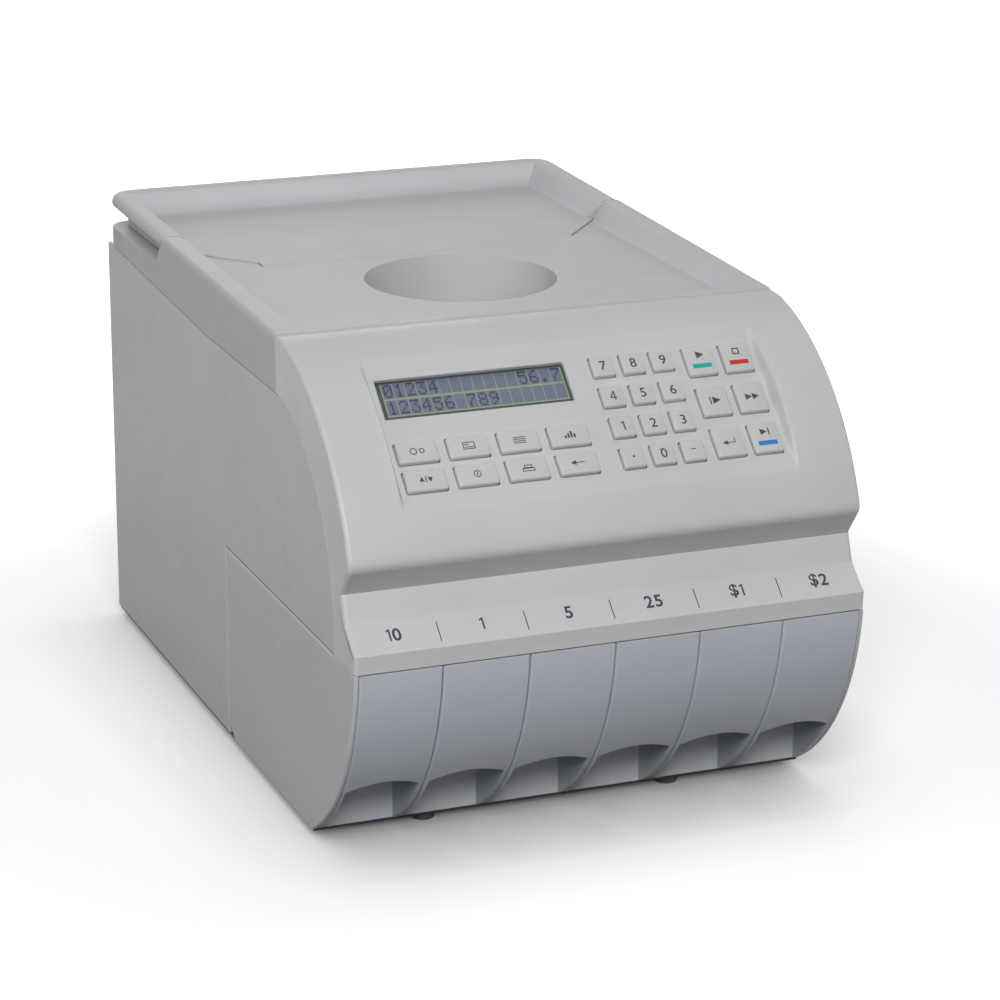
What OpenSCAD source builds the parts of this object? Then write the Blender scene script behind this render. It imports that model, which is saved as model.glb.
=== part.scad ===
// Tabletop coin sorting machine: a hopper tray feeds a spinning disc under a
// sorting head, and six chutes drop the sorted coins into six front drawers.
// Millimetres, +Z up, front towards -Y. Inside each module the working frame
// has y = 0 at the front foot line and z = 0 at the bottom of the housing;
// machine() moves it so that the origin is the centre of the footprint.

/* [Cabinet] */
// Overall width
body_w = 275; // [265:1:300]
// Distance from the front foot line to the back
body_d = 366; // [360:1:400]
// Radius of the round front
drum_r = 133.5; // [131:0.5:136]
// Height of the round front's axis
drum_z = 116; // [115:0.5:118]
// Distance of the round front's axis behind the front foot line
drum_y = 66.5; // [65:0.5:68]
// Wall of the outer mouldings
wall = 2.5; // [2:0.1:3]
// Seam between two outer mouldings
seam = 0.6; // [0.4:0.1:0.8]
// Thickness of the base plate
base_t = 1.5; // [1:0.1:2]

/* [Front] */
// Drop of the flat strip above the control panel below the round front's top
hood_drop = 2.5; // [1.5:0.5:3.5]
// Height of the hood's lower lip above the round front's axis
lip_up = 42; // [40:1:44]
// Height of the recess's inner corner above the round front's axis
recess_up = 26; // [24:1:27]
// Height of the label face's upper edge above the round front's axis
label_up = 12.4; // [11:0.2:14]
// Set-back of the recess's inner corner from the drum axis
recess_y = 114.5; // [112:0.5:116]
// Set-back of the label face's upper edge from the drum axis
label_y = 119.5; // [118:0.5:121]
// Depth of the strip between the label face and the drawers
lower_strip = 9.5; // [8:0.5:11]
// Radius of the seam between the hood and the side panels
hood_seam_r = 99; // [97:0.5:101]

/* [Control panel] */
// Length of the flat control panel down the slope
panel_len = 86; // [84:1:90]
// Tilt of the control panel from the horizontal
panel_tilt = 42; // [40:0.5:44]
// Display window width
window_w = 101; // [98:1:102]
// Display window height
window_h = 23; // [20:1:24]
// Margin from the panel's side edge to the first key and the window
panel_margin = 4.5; // [4:0.5:6]
// Distance from the panel's top crease to the window and the top keys
panel_head = 10.5; // [9:0.5:11.5]
// Height of the key caps above the panel
key_h = 2.2; // [1.5:0.1:3]
// Travel of a key
key_travel = 1.2; // [0.8:0.1:1.4]
// Clearance around a key cap
key_gap = 0.5; // [0.4:0.05:0.7]
// Function key width
fkey_w = 21; // [19:0.5:22]
// Function key height
fkey_h = 12; // [11:0.5:12.5]
// Function key spacing across
fkey_dx = 26.8; // [26:0.1:27]
// Gap between the function keys and the number keys
fkey_block_gap = 13.2; // [11:0.2:15]
// Gap between the number keys and the control keys
nkey_block_gap = 6.7; // [5:0.1:8]
// Number key width and height
nkey_w = 11.8; // [10.5:0.1:12.2]
// Number key spacing across
nkey_dx = 16.4; // [16:0.1:16.8]
// Number key spacing down the slope
nkey_dy = 18.05; // [17.5:0.05:18.4]
// Control key width
ckey_w = 15.6; // [14.5:0.1:16]
// Control key height
ckey_h = 17; // [15:0.5:17.5]
// Control key spacing across
ckey_dx = 20.5; // [20:0.1:21]

/* [Tray] */
// Front edge of the hopper tray
tray_y = 50; // [49:0.5:52]
// Drop of the tray's rim at its front below the round front's top
rim_drop = 1.5; // [0.5:0.5:2]
// Rise of the tray's rim from front to back
rim_rise = 7; // [5:0.5:9]
// Depth of the tray's side below its rim at the front
side_drop = 31.4; // [30:0.2:33]
// Depth of the tray's side below its rim at the back
side_back_drop = 30.5; // [29:0.5:32]
// Width of the tray's rim
rim_w = 11.5; // [10:0.5:13]
// Depth of the tray's floor below its front rim
dish_depth = 6.5; // [6:0.1:7]
// Depth of the ledge under the lifting pan below the tray's floor
ledge_drop = 5.5; // [5:0.1:6]
// Where the lifting pan's rim starts
pan_y = 250; // [248:1:254]
// Corner radius of the rim at the back
rim_corner = 14; // [10:1:18]
// Radius of the hopper throat
throat_r = 52; // [50:1:54]

/* [Sorting mechanism] */
// Distance of the disc's axis behind the front foot line
disc_y = 150; // [148:1:153]
// Radius of the sorting disc
disc_r = 100; // [97:1:101]
// Height of the disc's underside above the mechanism plate
disc_up = 43.5; // [42:0.5:45]
// Thickness of the steel disc
disc_t = 7; // [6:0.5:8]
// Thickness of the resilient pad
pad_t = 3; // [2.5:0.25:3.5]
// Thickness of the sorting head
head_t = 10; // [8:1:12]
// Thickness of the mechanism plate
plate_t = 3; // [2.5:0.25:4]
// Spindle diameter
spindle_d = 12; // [10:1:14]
// Driven pulley radius
pulley_r = 50; // [45:1:54]
// Motor pulley radius
motor_pulley_r = 18; // [15:1:22]
// Distance between the two pulleys
belt_span = 132; // [128:1:136]
// Motor radius
motor_r = 34; // [30:1:36]
// Motor length
motor_len = 78; // [70:1:84]

/* [Drawers] */
// Number of coin drawers
drawer_n = 6; // [6:1:6]
// Wall of a drawer
drawer_t = 1.8; // [1.5:0.1:2.2]
// Running clearance beside a drawer
drawer_gap = 0.35; // [0.3:0.05:0.5]
// Gap between two drawer fronts
front_gap = 0.8; // [0.5:0.1:1]
// Depth of the drawers behind the front foot line
drawer_d = 136; // [130:1:137]
// Height of the finger arch's ends
arch_z = 34.5; // [32:0.5:37]
// Rise of the finger arch
arch_rise = 4.6; // [3:0.1:6]
// Thickness of a partition between two drawers
partition_t = 1.2; // [1:0.1:1.6]

/* [Feet] */
// Radius of a rubber foot
foot_r = 7; // [6:0.5:9]
// Height of a rubber foot
foot_h = 4; // [3:0.5:6]

/* [Hidden] */
$fn = 96;
fn_front = 180;
fn_round = 120;
fn_mid = 48;
fn_small = 32;
// overlap that joins two solids of one piece
eps = 0.01;
// how far a cut runs past the face that it opens
over = 1;
half_w = body_w / 2;
inner_x = half_w - wall;
bay = body_w / drawer_n;
nose_y = drum_y - drum_r;
drum_top = drum_z + drum_r;
hood_top = drum_top - hood_drop;
lip_z = drum_z + lip_up;
recess_z = drum_z + recess_up;
label_z = drum_z + label_up;
lower_h = drum_z - lower_strip;
rim_front_h = drum_top - rim_drop;
rim_back_h = rim_front_h + rim_rise;
side_h = rim_front_h - side_drop;
side_back_h = rim_back_h - side_back_drop;
tray_floor = rim_front_h - dish_depth;
ledge_z = tray_floor - ledge_drop;
floor_z = base_t + foot_h;
bays = [for (i = [0 : drawer_n - 1]) (i - (drawer_n - 1) / 2) * bay];

// front profile
function drum_at(a) = [drum_y - drum_r * cos(a), drum_z + drum_r * sin(a)];
function on_drum(z, r = drum_r) = drum_y - sqrt(r * r - (z - drum_z) * (z - drum_z));
fkey_block_w = 3 * fkey_dx + fkey_w;
nkey_block_w = 2 * nkey_dx + nkey_w;
ckey_block_w = ckey_dx + ckey_w;
panel_w = 2 * panel_margin + fkey_block_w + fkey_block_gap + nkey_block_w + nkey_block_gap + ckey_block_w;
panel_half_a = asin(panel_len / 2 / drum_r);
panel_top = drum_at(90 - panel_tilt + panel_half_a);
lip_top = [on_drum(lip_z), lip_z];
recess_in = [drum_y - recess_y, recess_z];
label_top = [drum_y - label_y, label_z];
label_low = [on_drum(drum_z), drum_z];
hood_seam_in = 4;
hood_seam_up = 3.3;
hood_seam_at = [drum_y - hood_seam_in, drum_z + hood_seam_up];
front_box = 2 * drum_r;

// side panels
side_knee_y = 170;
housing_y = 142;
sheet_t = 2.2;
rear_inset = 2.8;
rear_y = body_d - rear_inset;
flange_w = 22;
flange_end = 2;

// control panel: x across, y up the slope from the top crease, z outwards
key_flange = 1.2;
flange_t = 1.4;
flange_gap = 0.3;
key_corner = 1.2;
stem_r = 1.5;
board_z = -9;
board_t = 1.6;
dome_r = 3.6;
dome_wall = 0.9;
dome_gap = 0.3;
key_root = -wall - flange_gap - flange_t;
dome_top = key_root - key_travel - dome_gap;
stem_low = board_z + key_travel + dome_gap;
panel_left = -panel_w / 2 + panel_margin;
row_low = panel_head + 3 * nkey_dy + nkey_w;
fkey_row_gap = 4.3;
fkey_dy = fkey_h + fkey_row_gap;
ckey_dy = (row_low - panel_head - ckey_h) / 2;
ckey_x = -panel_left - ckey_w / 2 - ckey_dx;
nkey_x = ckey_x - ckey_w / 2 - nkey_block_gap - nkey_w / 2 - 2 * nkey_dx;
number_keys = [
    ["key_7", 0, 0], ["key_8", 1, 0], ["key_9", 2, 0],
    ["key_4", 0, 1], ["key_5", 1, 1], ["key_6", 2, 1],
    ["key_1", 0, 2], ["key_2", 1, 2], ["key_3", 2, 2],
    ["key_point", 0, 3], ["key_0", 1, 3], ["key_dash", 2, 3]
];
function fkey_at(i) = [panel_left + fkey_w / 2 + (i % 4) * fkey_dx,
    -(row_low - fkey_h / 2 - (1 - floor(i / 4)) * fkey_dy)];
function ckey_at(i) = [ckey_x + (i % 2) * ckey_dx, -(panel_head + ckey_h / 2 + floor(i / 2) * ckey_dy)];
function nkey_at(i) = [nkey_x + number_keys[i][1] * nkey_dx,
    -(panel_head + nkey_w / 2 + number_keys[i][2] * nkey_dy)];
key_list = concat(
    [for (i = [0 : 7]) [str("function_key_", i + 1), fkey_at(i), fkey_w, fkey_h]],
    [for (i = [0 : 11]) [number_keys[i][0], nkey_at(i), nkey_w, nkey_w]],
    [for (i = [0 : 5]) [str("control_key_", i + 1), ckey_at(i), ckey_w, ckey_h]]);
window_at = [panel_left + window_w / 2, -panel_head - window_h / 2];
window_t = 1.2;
window_lap = 3;
module_side = 7;
module_end = 5;
module_w = window_w + 2 * module_side;
module_h = window_h + 2 * module_end;
module_frame = 3;
module_gap = 0.2;
lens_drop = 1;
boss_r = 3;
boss_in = 2;
boss_up = 4;
boss_at = [[-panel_w / 2 + boss_in, -boss_in], [panel_w / 2 - boss_in, -boss_in],
    [-panel_w / 2 + boss_in, boss_up - panel_len], [panel_w / 2 - boss_in, boss_up - panel_len],
    [window_at[0] + module_w / 2 - boss_r, boss_up - panel_len]];
boss_hole_r = 1.25;
boss_hole_deep = 5;
board_side = 2.5;
board_head = 0.5;
board_w = panel_w + 2 * board_side;
board_len = panel_len;

// tray and pan
rim_slope = (rim_back_h - rim_front_h) / (body_d - tray_y);
function rim_at(y) = rim_front_h + (y - tray_y) * rim_slope;
floor_t = 2.5;
wall_slope = 0.67;
dish_over = 5;
rim_run = 7;
floor_in = rim_w + rim_run;
floor_front = 11.5;
floor_back = 18;
pan_gap = 1;
pan_drop = 15;
rim_end = 0.9;
seam_lean = 3.6;
pan_step = 0.8;
pan_floor = tray_floor + pan_step;
hinge_r = 4;
tongue_reach = 38;
hinge_y = pan_y - tongue_reach;
hinge_z = pan_floor - hinge_r;
hinge_gap = 0.35;
pin_r = 1.5;
pin_gap = 0.05;
pin_len = 16;
tongue_side = 45;
tongue_x = half_w - tongue_side;
tongue_in = 14.5;
tongue_straight = 6;
tongue_gap = 0.6;
pan_wall_in = 9;
pan_rest_gap = 0.3;
lip_t = 7;
skirt_h = 5;
pin_cover = 1;
funnel_low_r = 46;

// mechanism
plate_z = lower_h;
plate_top = plate_z + plate_t;
disc_z = plate_top + disc_up;
plate_side = 0.5;
plate_x = inner_x - plate_side;
plate_y0 = -28;
rear_flange_in = 12;
rear_flange_y = body_d - rear_flange_in;
pad_z = disc_z + disc_t;
head_gap = 0.4;
head_z = pad_z + pad_t + head_gap;
head_top = head_z + head_t;
funnel_z = head_top + head_gap;
spindle_r = spindle_d / 2;
bearing_wall = 8;
bearing_r = spindle_r + bearing_wall;
bearing_h = 8;
bearing_gap = 0.05;
bearing_seat = 0.02;
unit_wall = 6;
unit_r = bearing_r + unit_wall;
unit_flange = 12;
unit_flange_r = unit_r + unit_flange;
unit_flange_t = 5;
unit_bore = 2;
unit_h = 24;
unit_bolt_r = 2.2;
pulley_gap = 2;
pulley_z = plate_top + unit_h + pulley_gap;
pulley_t = disc_z - pulley_gap - pulley_z;
pulley_rim = 2;
pulley_rim_t = 1.5;
pulley_hub = 8;
pulley_hub_up = 2;
pulley_hole_at = 0.6;
pulley_hole_r = 0.18;
spindle_foot = 1;
nut_lap = 3;
nut_h = 2.4;
belt_t = 2;
belt_gap = 0.3;
belt_side = 2;
belt_w = pulley_t - 2 * belt_side;
motor_y = disc_y + belt_span;
shaft_r = 5;
shaft_deep = 15;
motor_face = 8;
motor_end = 4;
motor_end_r = 0.6;
motor_hole = 6;
post_r = 3;
post_x = bay;
post_front_gap = 4;
post_front_y = disc_y - disc_r - post_front_gap;
post_out = 0.85;
post_back = 0.76;
post_rear = [disc_r * post_out, disc_y + disc_r * post_back];
posts = [[-post_x, post_front_y], [post_x, post_front_y],
    [-post_rear[0], post_rear[1]], [post_rear[0], post_rear[1]]];
chute_t = 1.2;
chute_side = 3.7;
chute_w = bay - 2 * chute_side;
port_y0 = 14;
port_y1 = 42;
port_w = chute_w - 2 * chute_t;
chute_gap = 1.5;
chute_drop = 2;
chute_top = head_top - chute_drop;
chute_lip = 4;
rail_h = 12;
arm_w = 14;
arm_len = 40;
groove_in = 10;
groove_out = 8;
groove_pitch = 12;
groove_w = 5;
groove_deep = 2;
notch_side = 4;
notch_deep = 3;
notch_len = 14;
pocket_at = 0.6;
pocket_r = 8;
pocket_deep = 3;
sixth = 60;
pad_in = 1;
pad_hole = 4;

// drawers
drawer_z = 0.5;
shelf_gap = 4;
deck_t = 2.4;
box_gap = 0.8;
box_top = lower_h - deck_t - box_gap;
housing_floor = 2;
finger_y = 0;
finger_z = 44;
finger_slope = 0.68;
finger_reach = 70;
drawer_step_y = 4;
partition_set = 1;

// feet
foot_xs = [-74.5, 63];
foot_front_in = 2.5;
foot_back_in = 30;
foot_ys = [foot_r + foot_front_in, body_d - foot_back_in];
foot_taper = 1;
foot_pin_r = 2.1;
foot_hole_r = 2.2;
base_in_x = 1;
base_in_y = 1.5;

// rear connectors
inlet_x = -92;
switch_x = -58;
port_xs = [60, 98];
socket_z = 40;
inlet_w = 28;
inlet_h = 22;
inlet_d = 24;
switch_w = 12;
switch_h = 19;
rocker_a = 8;
inlet_rim_x = 6;
inlet_rim_y = 3;
inlet_wall_x = 2.5;
inlet_wall_y = 3;
inlet_rim_t = 1.6;
inlet_floor = 6;
blade_dx = 7;
blade_drop = 4;
blade_w = 2;
blade_h = 4;
blade_len = 14;
blade_in = 4;
switch_rim = 2;
switch_bezel = 4;
switch_room = 0.5;
switch_d = 12;
bezel_t = 1.2;
cup_floor = 3;
rocker_in = 2;
rocker_half = 3;
rocker_dip = 2;
rocker_side = 1;
rocker_end = 0.6;
cut_gap = 0.3;
data_w = 26;
data_h = 11;
data_d = 10;
data_rim_x = 4;
data_rim_y = 2;
data_wall_x = 2.5;
data_wall_y = 2;
socket_room = 8;
data_room = 4;
vent_n = 10;
vent_dx = 19;
vent_w = 12;
vent_h = 4;
vent_z = 140;
vent_dz = 24;
screw_r = 2;
screw_fit = 0.1;
screw_head_r = 4;
screw_head_h = 2.2;
screw_len = 9;
screw_in = 12;
screw_low = 14;
screw_mid = 108;
screw_top_in = 12.6;
screw_zs = [screw_low, screw_mid, side_h - screw_top_in];
screw_at = [for (x = [-half_w + screw_in, half_w - screw_in], z = screw_zs) [x, z]];
cross_l = 5;
cross_w = 1;
cross_z = 1;

// circuit board and power supply
circuit_w = 84;
circuit_len = 170;
circuit_z = 8;
circuit_in = 5;
bench_side = 9.5;
bench_y = 165;
circuit_x1 = half_w - bench_side;
circuit_x0 = circuit_x1 - circuit_w;
chip_w = 26;
chip_h = 3.4;
chip_side = 12;
chip_end = 20;
chip_x = circuit_x0 + chip_side;
chip_y = bench_y + chip_end;
chip_dy = 40;
block_w = 30;
block_len = 40;
block_h = 12.4;
block_side = 8;
block_end = 25;
block_x = circuit_x1 - block_side - block_w;
block_y = bench_y + block_end;
can_r = 7;
can_h = 18;
can_side = 23;
can_end = 85;
can_x = circuit_x1 - can_side;
can_y = bench_y + can_end;
can_dy = 20;
supply_w = 84;
supply_len = 160;
supply_h = 52;
supply_t = 1.5;
supply_x0 = bench_side - half_w;
slot_n = 12;
slot_dx = 6;
slot_w = 3;
slot_side = 10;
slot_end = 35;
slot_len = 100;

// ---------- shared shapes ----------

// moves the working frame so that the origin is the centre of the footprint
module machine() {
    translate([0, -(body_d + nose_y) / 2, floor_z]) children();
}

// a side profile in (y, z), extruded from x0 to x1
module across(x0, x1) {
    translate([x0, 0, 0]) rotate([90, 0, 90]) linear_extrude(x1 - x0) children();
}

// the control panel's own frame
module on_panel() {
    translate([0, panel_top[0], panel_top[1]]) rotate([panel_tilt, 0, 0]) children();
}

// a rectangle with round corners
module round_rect(w, h, r) {
    square([w - 2 * r, h], center = true);
    square([w, h - 2 * r], center = true);
    for (x = [-w / 2 + r, w / 2 - r], y = [-h / 2 + r, h / 2 - r]) translate([x, y]) circle(r);
}

// a straight wall of half-thickness t on each side of the line from p to q
module stroke(p, q, t) {
    a = atan2(q[1] - p[1], q[0] - p[0]);
    n = [-sin(a) * t, cos(a) * t];
    polygon([p + n, q + n, q - n, p - n]);
}

module box(x0, x1, y0, y1, z0, z1) {
    translate([x0, y0, z0]) cube([x1 - x0, y1 - y0, z1 - z0]);
}

module mirrored_x() {
    children();
    mirror([1, 0, 0]) children();
}

module drum(r = drum_r) {
    translate([drum_y, drum_z]) circle(r, $fn = fn_front);
}

// ---------- outer mouldings ----------

// everything ahead of the tray and above the drawers, with the recess cut in
module fascia_outline() {
    difference() {
        intersection() {
            drum();
            translate([nose_y, lower_h + seam]) square([tray_y - nose_y, hood_top - lower_h - seam]);
        }
        polygon([lip_top, recess_in, label_top, label_low, [nose_y - over, drum_z], [nose_y - over, lip_z]]);
    }
}

// the part of the drum ahead of the flat control panel
module panel_segment(depth = 0) {
    intersection() {
        drum();
        translate(panel_top) rotate(panel_tilt) translate([-drum_r, -depth]) square([2 * drum_r, drum_r]);
    }
}

module fascia_skin(flat) {
    difference() {
        intersection() {
            fascia_outline();
            union() {
                difference() {
                    drum();
                    drum(drum_r - wall);
                }
                stroke(lip_top, recess_in, wall);
                stroke(recess_in, label_top, wall);
                stroke(label_top, label_low, wall);
                for (p = [recess_in, label_top]) translate(p) circle(wall);
                translate([0, hood_top - wall]) square([tray_y, wall]);
                if (flat) panel_segment(wall);
            }
        }
        if (flat) panel_segment();
    }
}

// region behind and below the seam of the hood, grown by a clearance
module behind_hood(grow) {
    top = side_h + grow;
    intersection() {
        translate(hood_seam_at) circle(hood_seam_r + grow, $fn = fn_front);
        translate([nose_y, 0]) square([hood_seam_at[0] - nose_y, top]);
    }
    polygon([
        [hood_seam_at[0], 0], [body_d, 0], [body_d, side_back_h + grow], [side_knee_y, top],
        [hood_seam_at[0], top]
    ]);
}

module side_band() {
    difference() {
        fascia_outline();
        behind_hood(seam);
    }
}

module key_hole(k) {
    translate([k[1][0], k[1][1], -wall - over])
        linear_extrude(wall + 2 * over) round_rect(k[2] + 2 * key_gap, k[3] + 2 * key_gap, key_corner);
}

module front_fascia() {
    color([0.78, 0.78, 0.79]) machine() {
        difference() {
            union() {
                mirrored_x() across(panel_w / 2, inner_x) fascia_skin(false);
                across(-panel_w / 2, panel_w / 2) fascia_skin(true);
                mirrored_x() across(inner_x, half_w) side_band();
                mirrored_x() across(panel_w / 2, panel_w / 2 + wall) panel_segment(wall);
            }
            on_panel() {
                translate([window_at[0], window_at[1], -wall - over])
                    linear_extrude(wall + 2 * over) square([window_w, window_h], center = true);
                for (k = key_list) key_hole(k);
            }
        }
        on_panel() for (b = boss_at) translate([b[0], b[1], board_z]) difference() {
            cylinder(r = boss_r, h = -board_z - wall);
            translate([0, 0, -over]) cylinder(r = boss_hole_r, h = boss_hole_deep + over);
        }
    }
}

// plan of the rim, with its rear corners rounded
module rim_plan(inset = 0) {
    w = half_w - inset;
    y1 = body_d - inset;
    r = rim_corner - inset;
    translate([-w, tray_y + seam]) square([2 * w, y1 - r - tray_y - seam]);
    translate([-w + r, tray_y + seam]) square([2 * (w - r), y1 - tray_y - seam]);
    for (x = [-w + r, w - r]) translate([x, y1 - r]) circle(r);
}

// shallow dish with a flat floor at height low and sloped walls
module dish(y0, y1, low) {
    x = half_w - floor_in;
    rise = rim_back_h + dish_over - low;
    spread = rise * wall_slope;
    hull() {
        box(-x, x, y0, y1, low, low + eps);
        box(-x - spread, x + spread, y0 - spread, y1 + spread, low + rise, low + rise + eps);
    }
}

module tray_outline() {
    polygon([
        [tray_y + seam, side_h + seam], [side_knee_y, side_h + seam], [body_d, side_back_h + seam],
        [body_d, ledge_z], [pan_y + pan_drop, ledge_z], [pan_y, rim_at(pan_y) - rim_end],
        [pan_y, rim_at(pan_y)], [tray_y + seam, rim_at(tray_y)]
    ]);
}

// everything above the ledge and behind the leaning seam inside the rim, moved back by gap
module behind_seam(gap) {
    far = body_d + over;
    polygon([
        [pan_y + gap, rim_back_h + over], [pan_y + gap, rim_at(pan_y)], [pan_y + seam_lean + gap, tray_floor],
        [pan_y + seam_lean + gap, ledge_z], [far, ledge_z], [far, rim_back_h + over]
    ]);
}

// plan of the pan's tongue, which laps the tray's floor; grow is the clearance around it
module tongue_plan(grow) {
    x0 = tongue_x + grow;
    x1 = half_w - tongue_in + grow;
    y1 = pan_y + seam_lean - grow;
    y2 = y1 + pan_drop;
    ys = hinge_y + tongue_straight - grow;
    polygon([[-x0, hinge_y], [x0, hinge_y], [x0, ys], [x1, y1], [x1, y2], [-x1, y2], [-x1, y1], [-x0, ys]]);
}

module hinge_bar(r, x) {
    translate([-x, hinge_y, hinge_z]) rotate([0, 90, 0]) cylinder(r = r, h = 2 * x, $fn = fn_mid);
}

// trough that takes the pan's hinge edge, with a boss for a pin at each end
module hinge_trough() {
    x = tongue_x + pin_len / 2 + pin_cover;
    r = hinge_r + hinge_gap + floor_t;
    intersection() {
        hinge_bar(r, x);
        union() {
            box(-x, x, hinge_y - r, hinge_y + r, 0, ledge_z);
            box(-x, x, hinge_y - r, hinge_y, 0, tray_floor - floor_t + eps);
        }
    }
}

// cone that guides coins from the tray to the sorting head
module funnel() {
    top = tray_floor - eps;
    translate([0, disc_y, 0]) rotate_extrude($fn = fn_round) polygon([
        [funnel_low_r, funnel_z], [throat_r, top], [throat_r + floor_t, top],
        [throat_r + floor_t, top - floor_t], [funnel_low_r + floor_t, funnel_z]
    ]);
}

module hopper_tray() {
    skirt_low = side_h - skirt_h;
    step_y = hinge_y - hinge_r - hinge_gap - floor_t;
    color([0.76, 0.76, 0.77]) machine() difference() {
        union() {
            difference() {
                intersection() {
                    across(-half_w, half_w) tray_outline();
                    translate([0, 0, skirt_low]) linear_extrude(rim_back_h - skirt_low + over) rim_plan();
                }
                // hollow under the floor, and under the pan's ledge
                box(-inner_x, inner_x, tray_y + seam + wall, step_y, 0, tray_floor - floor_t);
                box(-inner_x, inner_x, step_y - over, body_d - rim_corner, 0, ledge_z - floor_t);
                box(-inner_x + rim_corner, inner_x - rim_corner, pan_y, body_d - wall, 0, ledge_z - floor_t);
                dish(tray_y + floor_front, body_d, tray_floor);
                translate([0, 0, ledge_z]) linear_extrude(rim_back_h - ledge_z) tongue_plan(tongue_gap);
                across(-half_w + pan_wall_in - tongue_gap, half_w - pan_wall_in + tongue_gap)
                    behind_seam(0);
                translate([0, disc_y, tray_floor - floor_t - over])
                    cylinder(r = throat_r, h = floor_t + 2 * over);
            }
            hinge_trough();
            funnel();
        }
        hinge_bar(hinge_r + hinge_gap, tongue_x + hinge_gap);
        hinge_bar(pin_r, tongue_x + pin_len / 2);
    }
}

// the rim's slanted end on the pan, moved back from the tray's by pan_gap
module rim_end_cut() {
    polygon([
        [0, 0], [pan_y + pan_drop + pan_gap, 0], [pan_y + pan_drop + pan_gap, ledge_z],
        [pan_y + pan_gap, rim_at(pan_y) - rim_end], [pan_y + pan_gap, rim_back_h + over],
        [0, rim_back_h + over]
    ]);
}

module rear_pan() {
    pan_low = ledge_z + pan_rest_gap;
    wall_x = half_w - pan_wall_in;
    color([0.77, 0.77, 0.78]) machine() difference() {
        union() {
            difference() {
                union() {
                    // overhanging lip
                    intersection() {
                        across(-half_w, half_w) difference() {
                            polygon([
                                [pan_y, rim_at(pan_y) - lip_t], [body_d, rim_at(body_d) - lip_t],
                                [body_d, rim_at(body_d)], [pan_y, rim_at(pan_y)]
                            ]);
                            rim_end_cut();
                        }
                        translate([0, 0, pan_low]) linear_extrude(rim_back_h - pan_low + over) rim_plan();
                    }
                    // set-back wall that stands on the ledge
                    intersection() {
                        across(-wall_x, wall_x) intersection() {
                            behind_seam(pan_gap);
                            polygon([
                                [pan_y, pan_low], [body_d, pan_low], [body_d, rim_at(body_d) - eps],
                                [pan_y, rim_at(pan_y) - eps]
                            ]);
                        }
                        translate([0, 0, pan_low])
                            linear_extrude(rim_back_h - pan_low + over) rim_plan(pan_wall_in);
                    }
                }
                dish(0, body_d - floor_back, pan_floor);
                box(-wall_x + wall, wall_x - wall, pan_y + pan_drop, body_d - pan_wall_in - wall,
                    pan_low - over, pan_floor - floor_t);
            }
            translate([0, 0, pan_floor - floor_t]) linear_extrude(floor_t) tongue_plan(0);
            hinge_bar(hinge_r, tongue_x);
        }
        hinge_bar(pin_r + pin_gap, tongue_x + over);
    }
}

module pan_hinge_pins() {
    color([0.72, 0.73, 0.75]) machine() mirrored_x()
        translate([tongue_x - pin_len / 2, hinge_y, hinge_z]) rotate([0, 90, 0])
            cylinder(r = pin_r, h = pin_len, $fn = fn_small);
}

// side panel profile, above and behind the drawer housing
module side_outline() {
    difference() {
        behind_hood(0);
        translate([nose_y, -over]) square([housing_y - nose_y + seam, lower_h + seam + over]);
    }
}

module side_panel() {
    across(half_w - sheet_t, half_w) side_outline();
    // rear flange that takes the panel screws
    difference() {
        box(half_w - sheet_t - flange_w, half_w - sheet_t, rear_y - 2 * sheet_t, rear_y - sheet_t,
            flange_end, side_h - flange_end);
        for (s = screw_at) if (s[0] > 0) translate([s[0], rear_y, s[1]])
            rotate([90, 0, 0]) cylinder(r = screw_r + screw_fit, h = 3 * sheet_t, $fn = fn_small);
    }
}

module left_side_panel() {
    color([0.62, 0.62, 0.63]) machine() mirror([1, 0, 0]) side_panel();
}

module right_side_panel() {
    color([0.62, 0.62, 0.63]) machine() side_panel();
}

// an opening through the rear panel, w by h, centred at x
module rear_opening(x, w, h) {
    translate([x, rear_y + over, socket_z]) rotate([90, 0, 0])
        linear_extrude(sheet_t + 2 * over) square([w + 2 * cut_gap, h + 2 * cut_gap], center = true);
}

module rear_panel() {
    x = half_w - sheet_t - cut_gap;
    vent_x = -((vent_n - 1) * vent_dx + vent_w) / 2;
    color([0.6, 0.6, 0.61]) machine() difference() {
        box(-x, x, rear_y - sheet_t, rear_y, cut_gap, side_back_h - seam);
        rear_opening(inlet_x, inlet_w, inlet_h);
        rear_opening(switch_x, switch_w + 2 * switch_rim, switch_h + 2 * switch_rim);
        for (px = port_xs) rear_opening(px, data_w, data_h);
        for (s = screw_at) translate([s[0], rear_y + over, s[1]]) rotate([90, 0, 0])
            cylinder(r = screw_r + cut_gap, h = sheet_t + 2 * over, $fn = fn_small);
        // ventilation slots
        for (i = [0 : vent_n - 1], z = [vent_z, vent_z + vent_dz])
            box(vent_x + i * vent_dx, vent_x + i * vent_dx + vent_w, rear_y - sheet_t - over, rear_y + over,
                z, z + vent_h);
    }
}

module base_plate() {
    color([0.25, 0.25, 0.27]) machine() difference() {
        box(-half_w + base_in_x, half_w - base_in_x, base_in_y, body_d - base_in_y, -base_t, 0);
        for (x = foot_xs, y = foot_ys) translate([x, y, -base_t - over])
            cylinder(r = foot_hole_r, h = base_t + 2 * over);
    }
}

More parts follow.
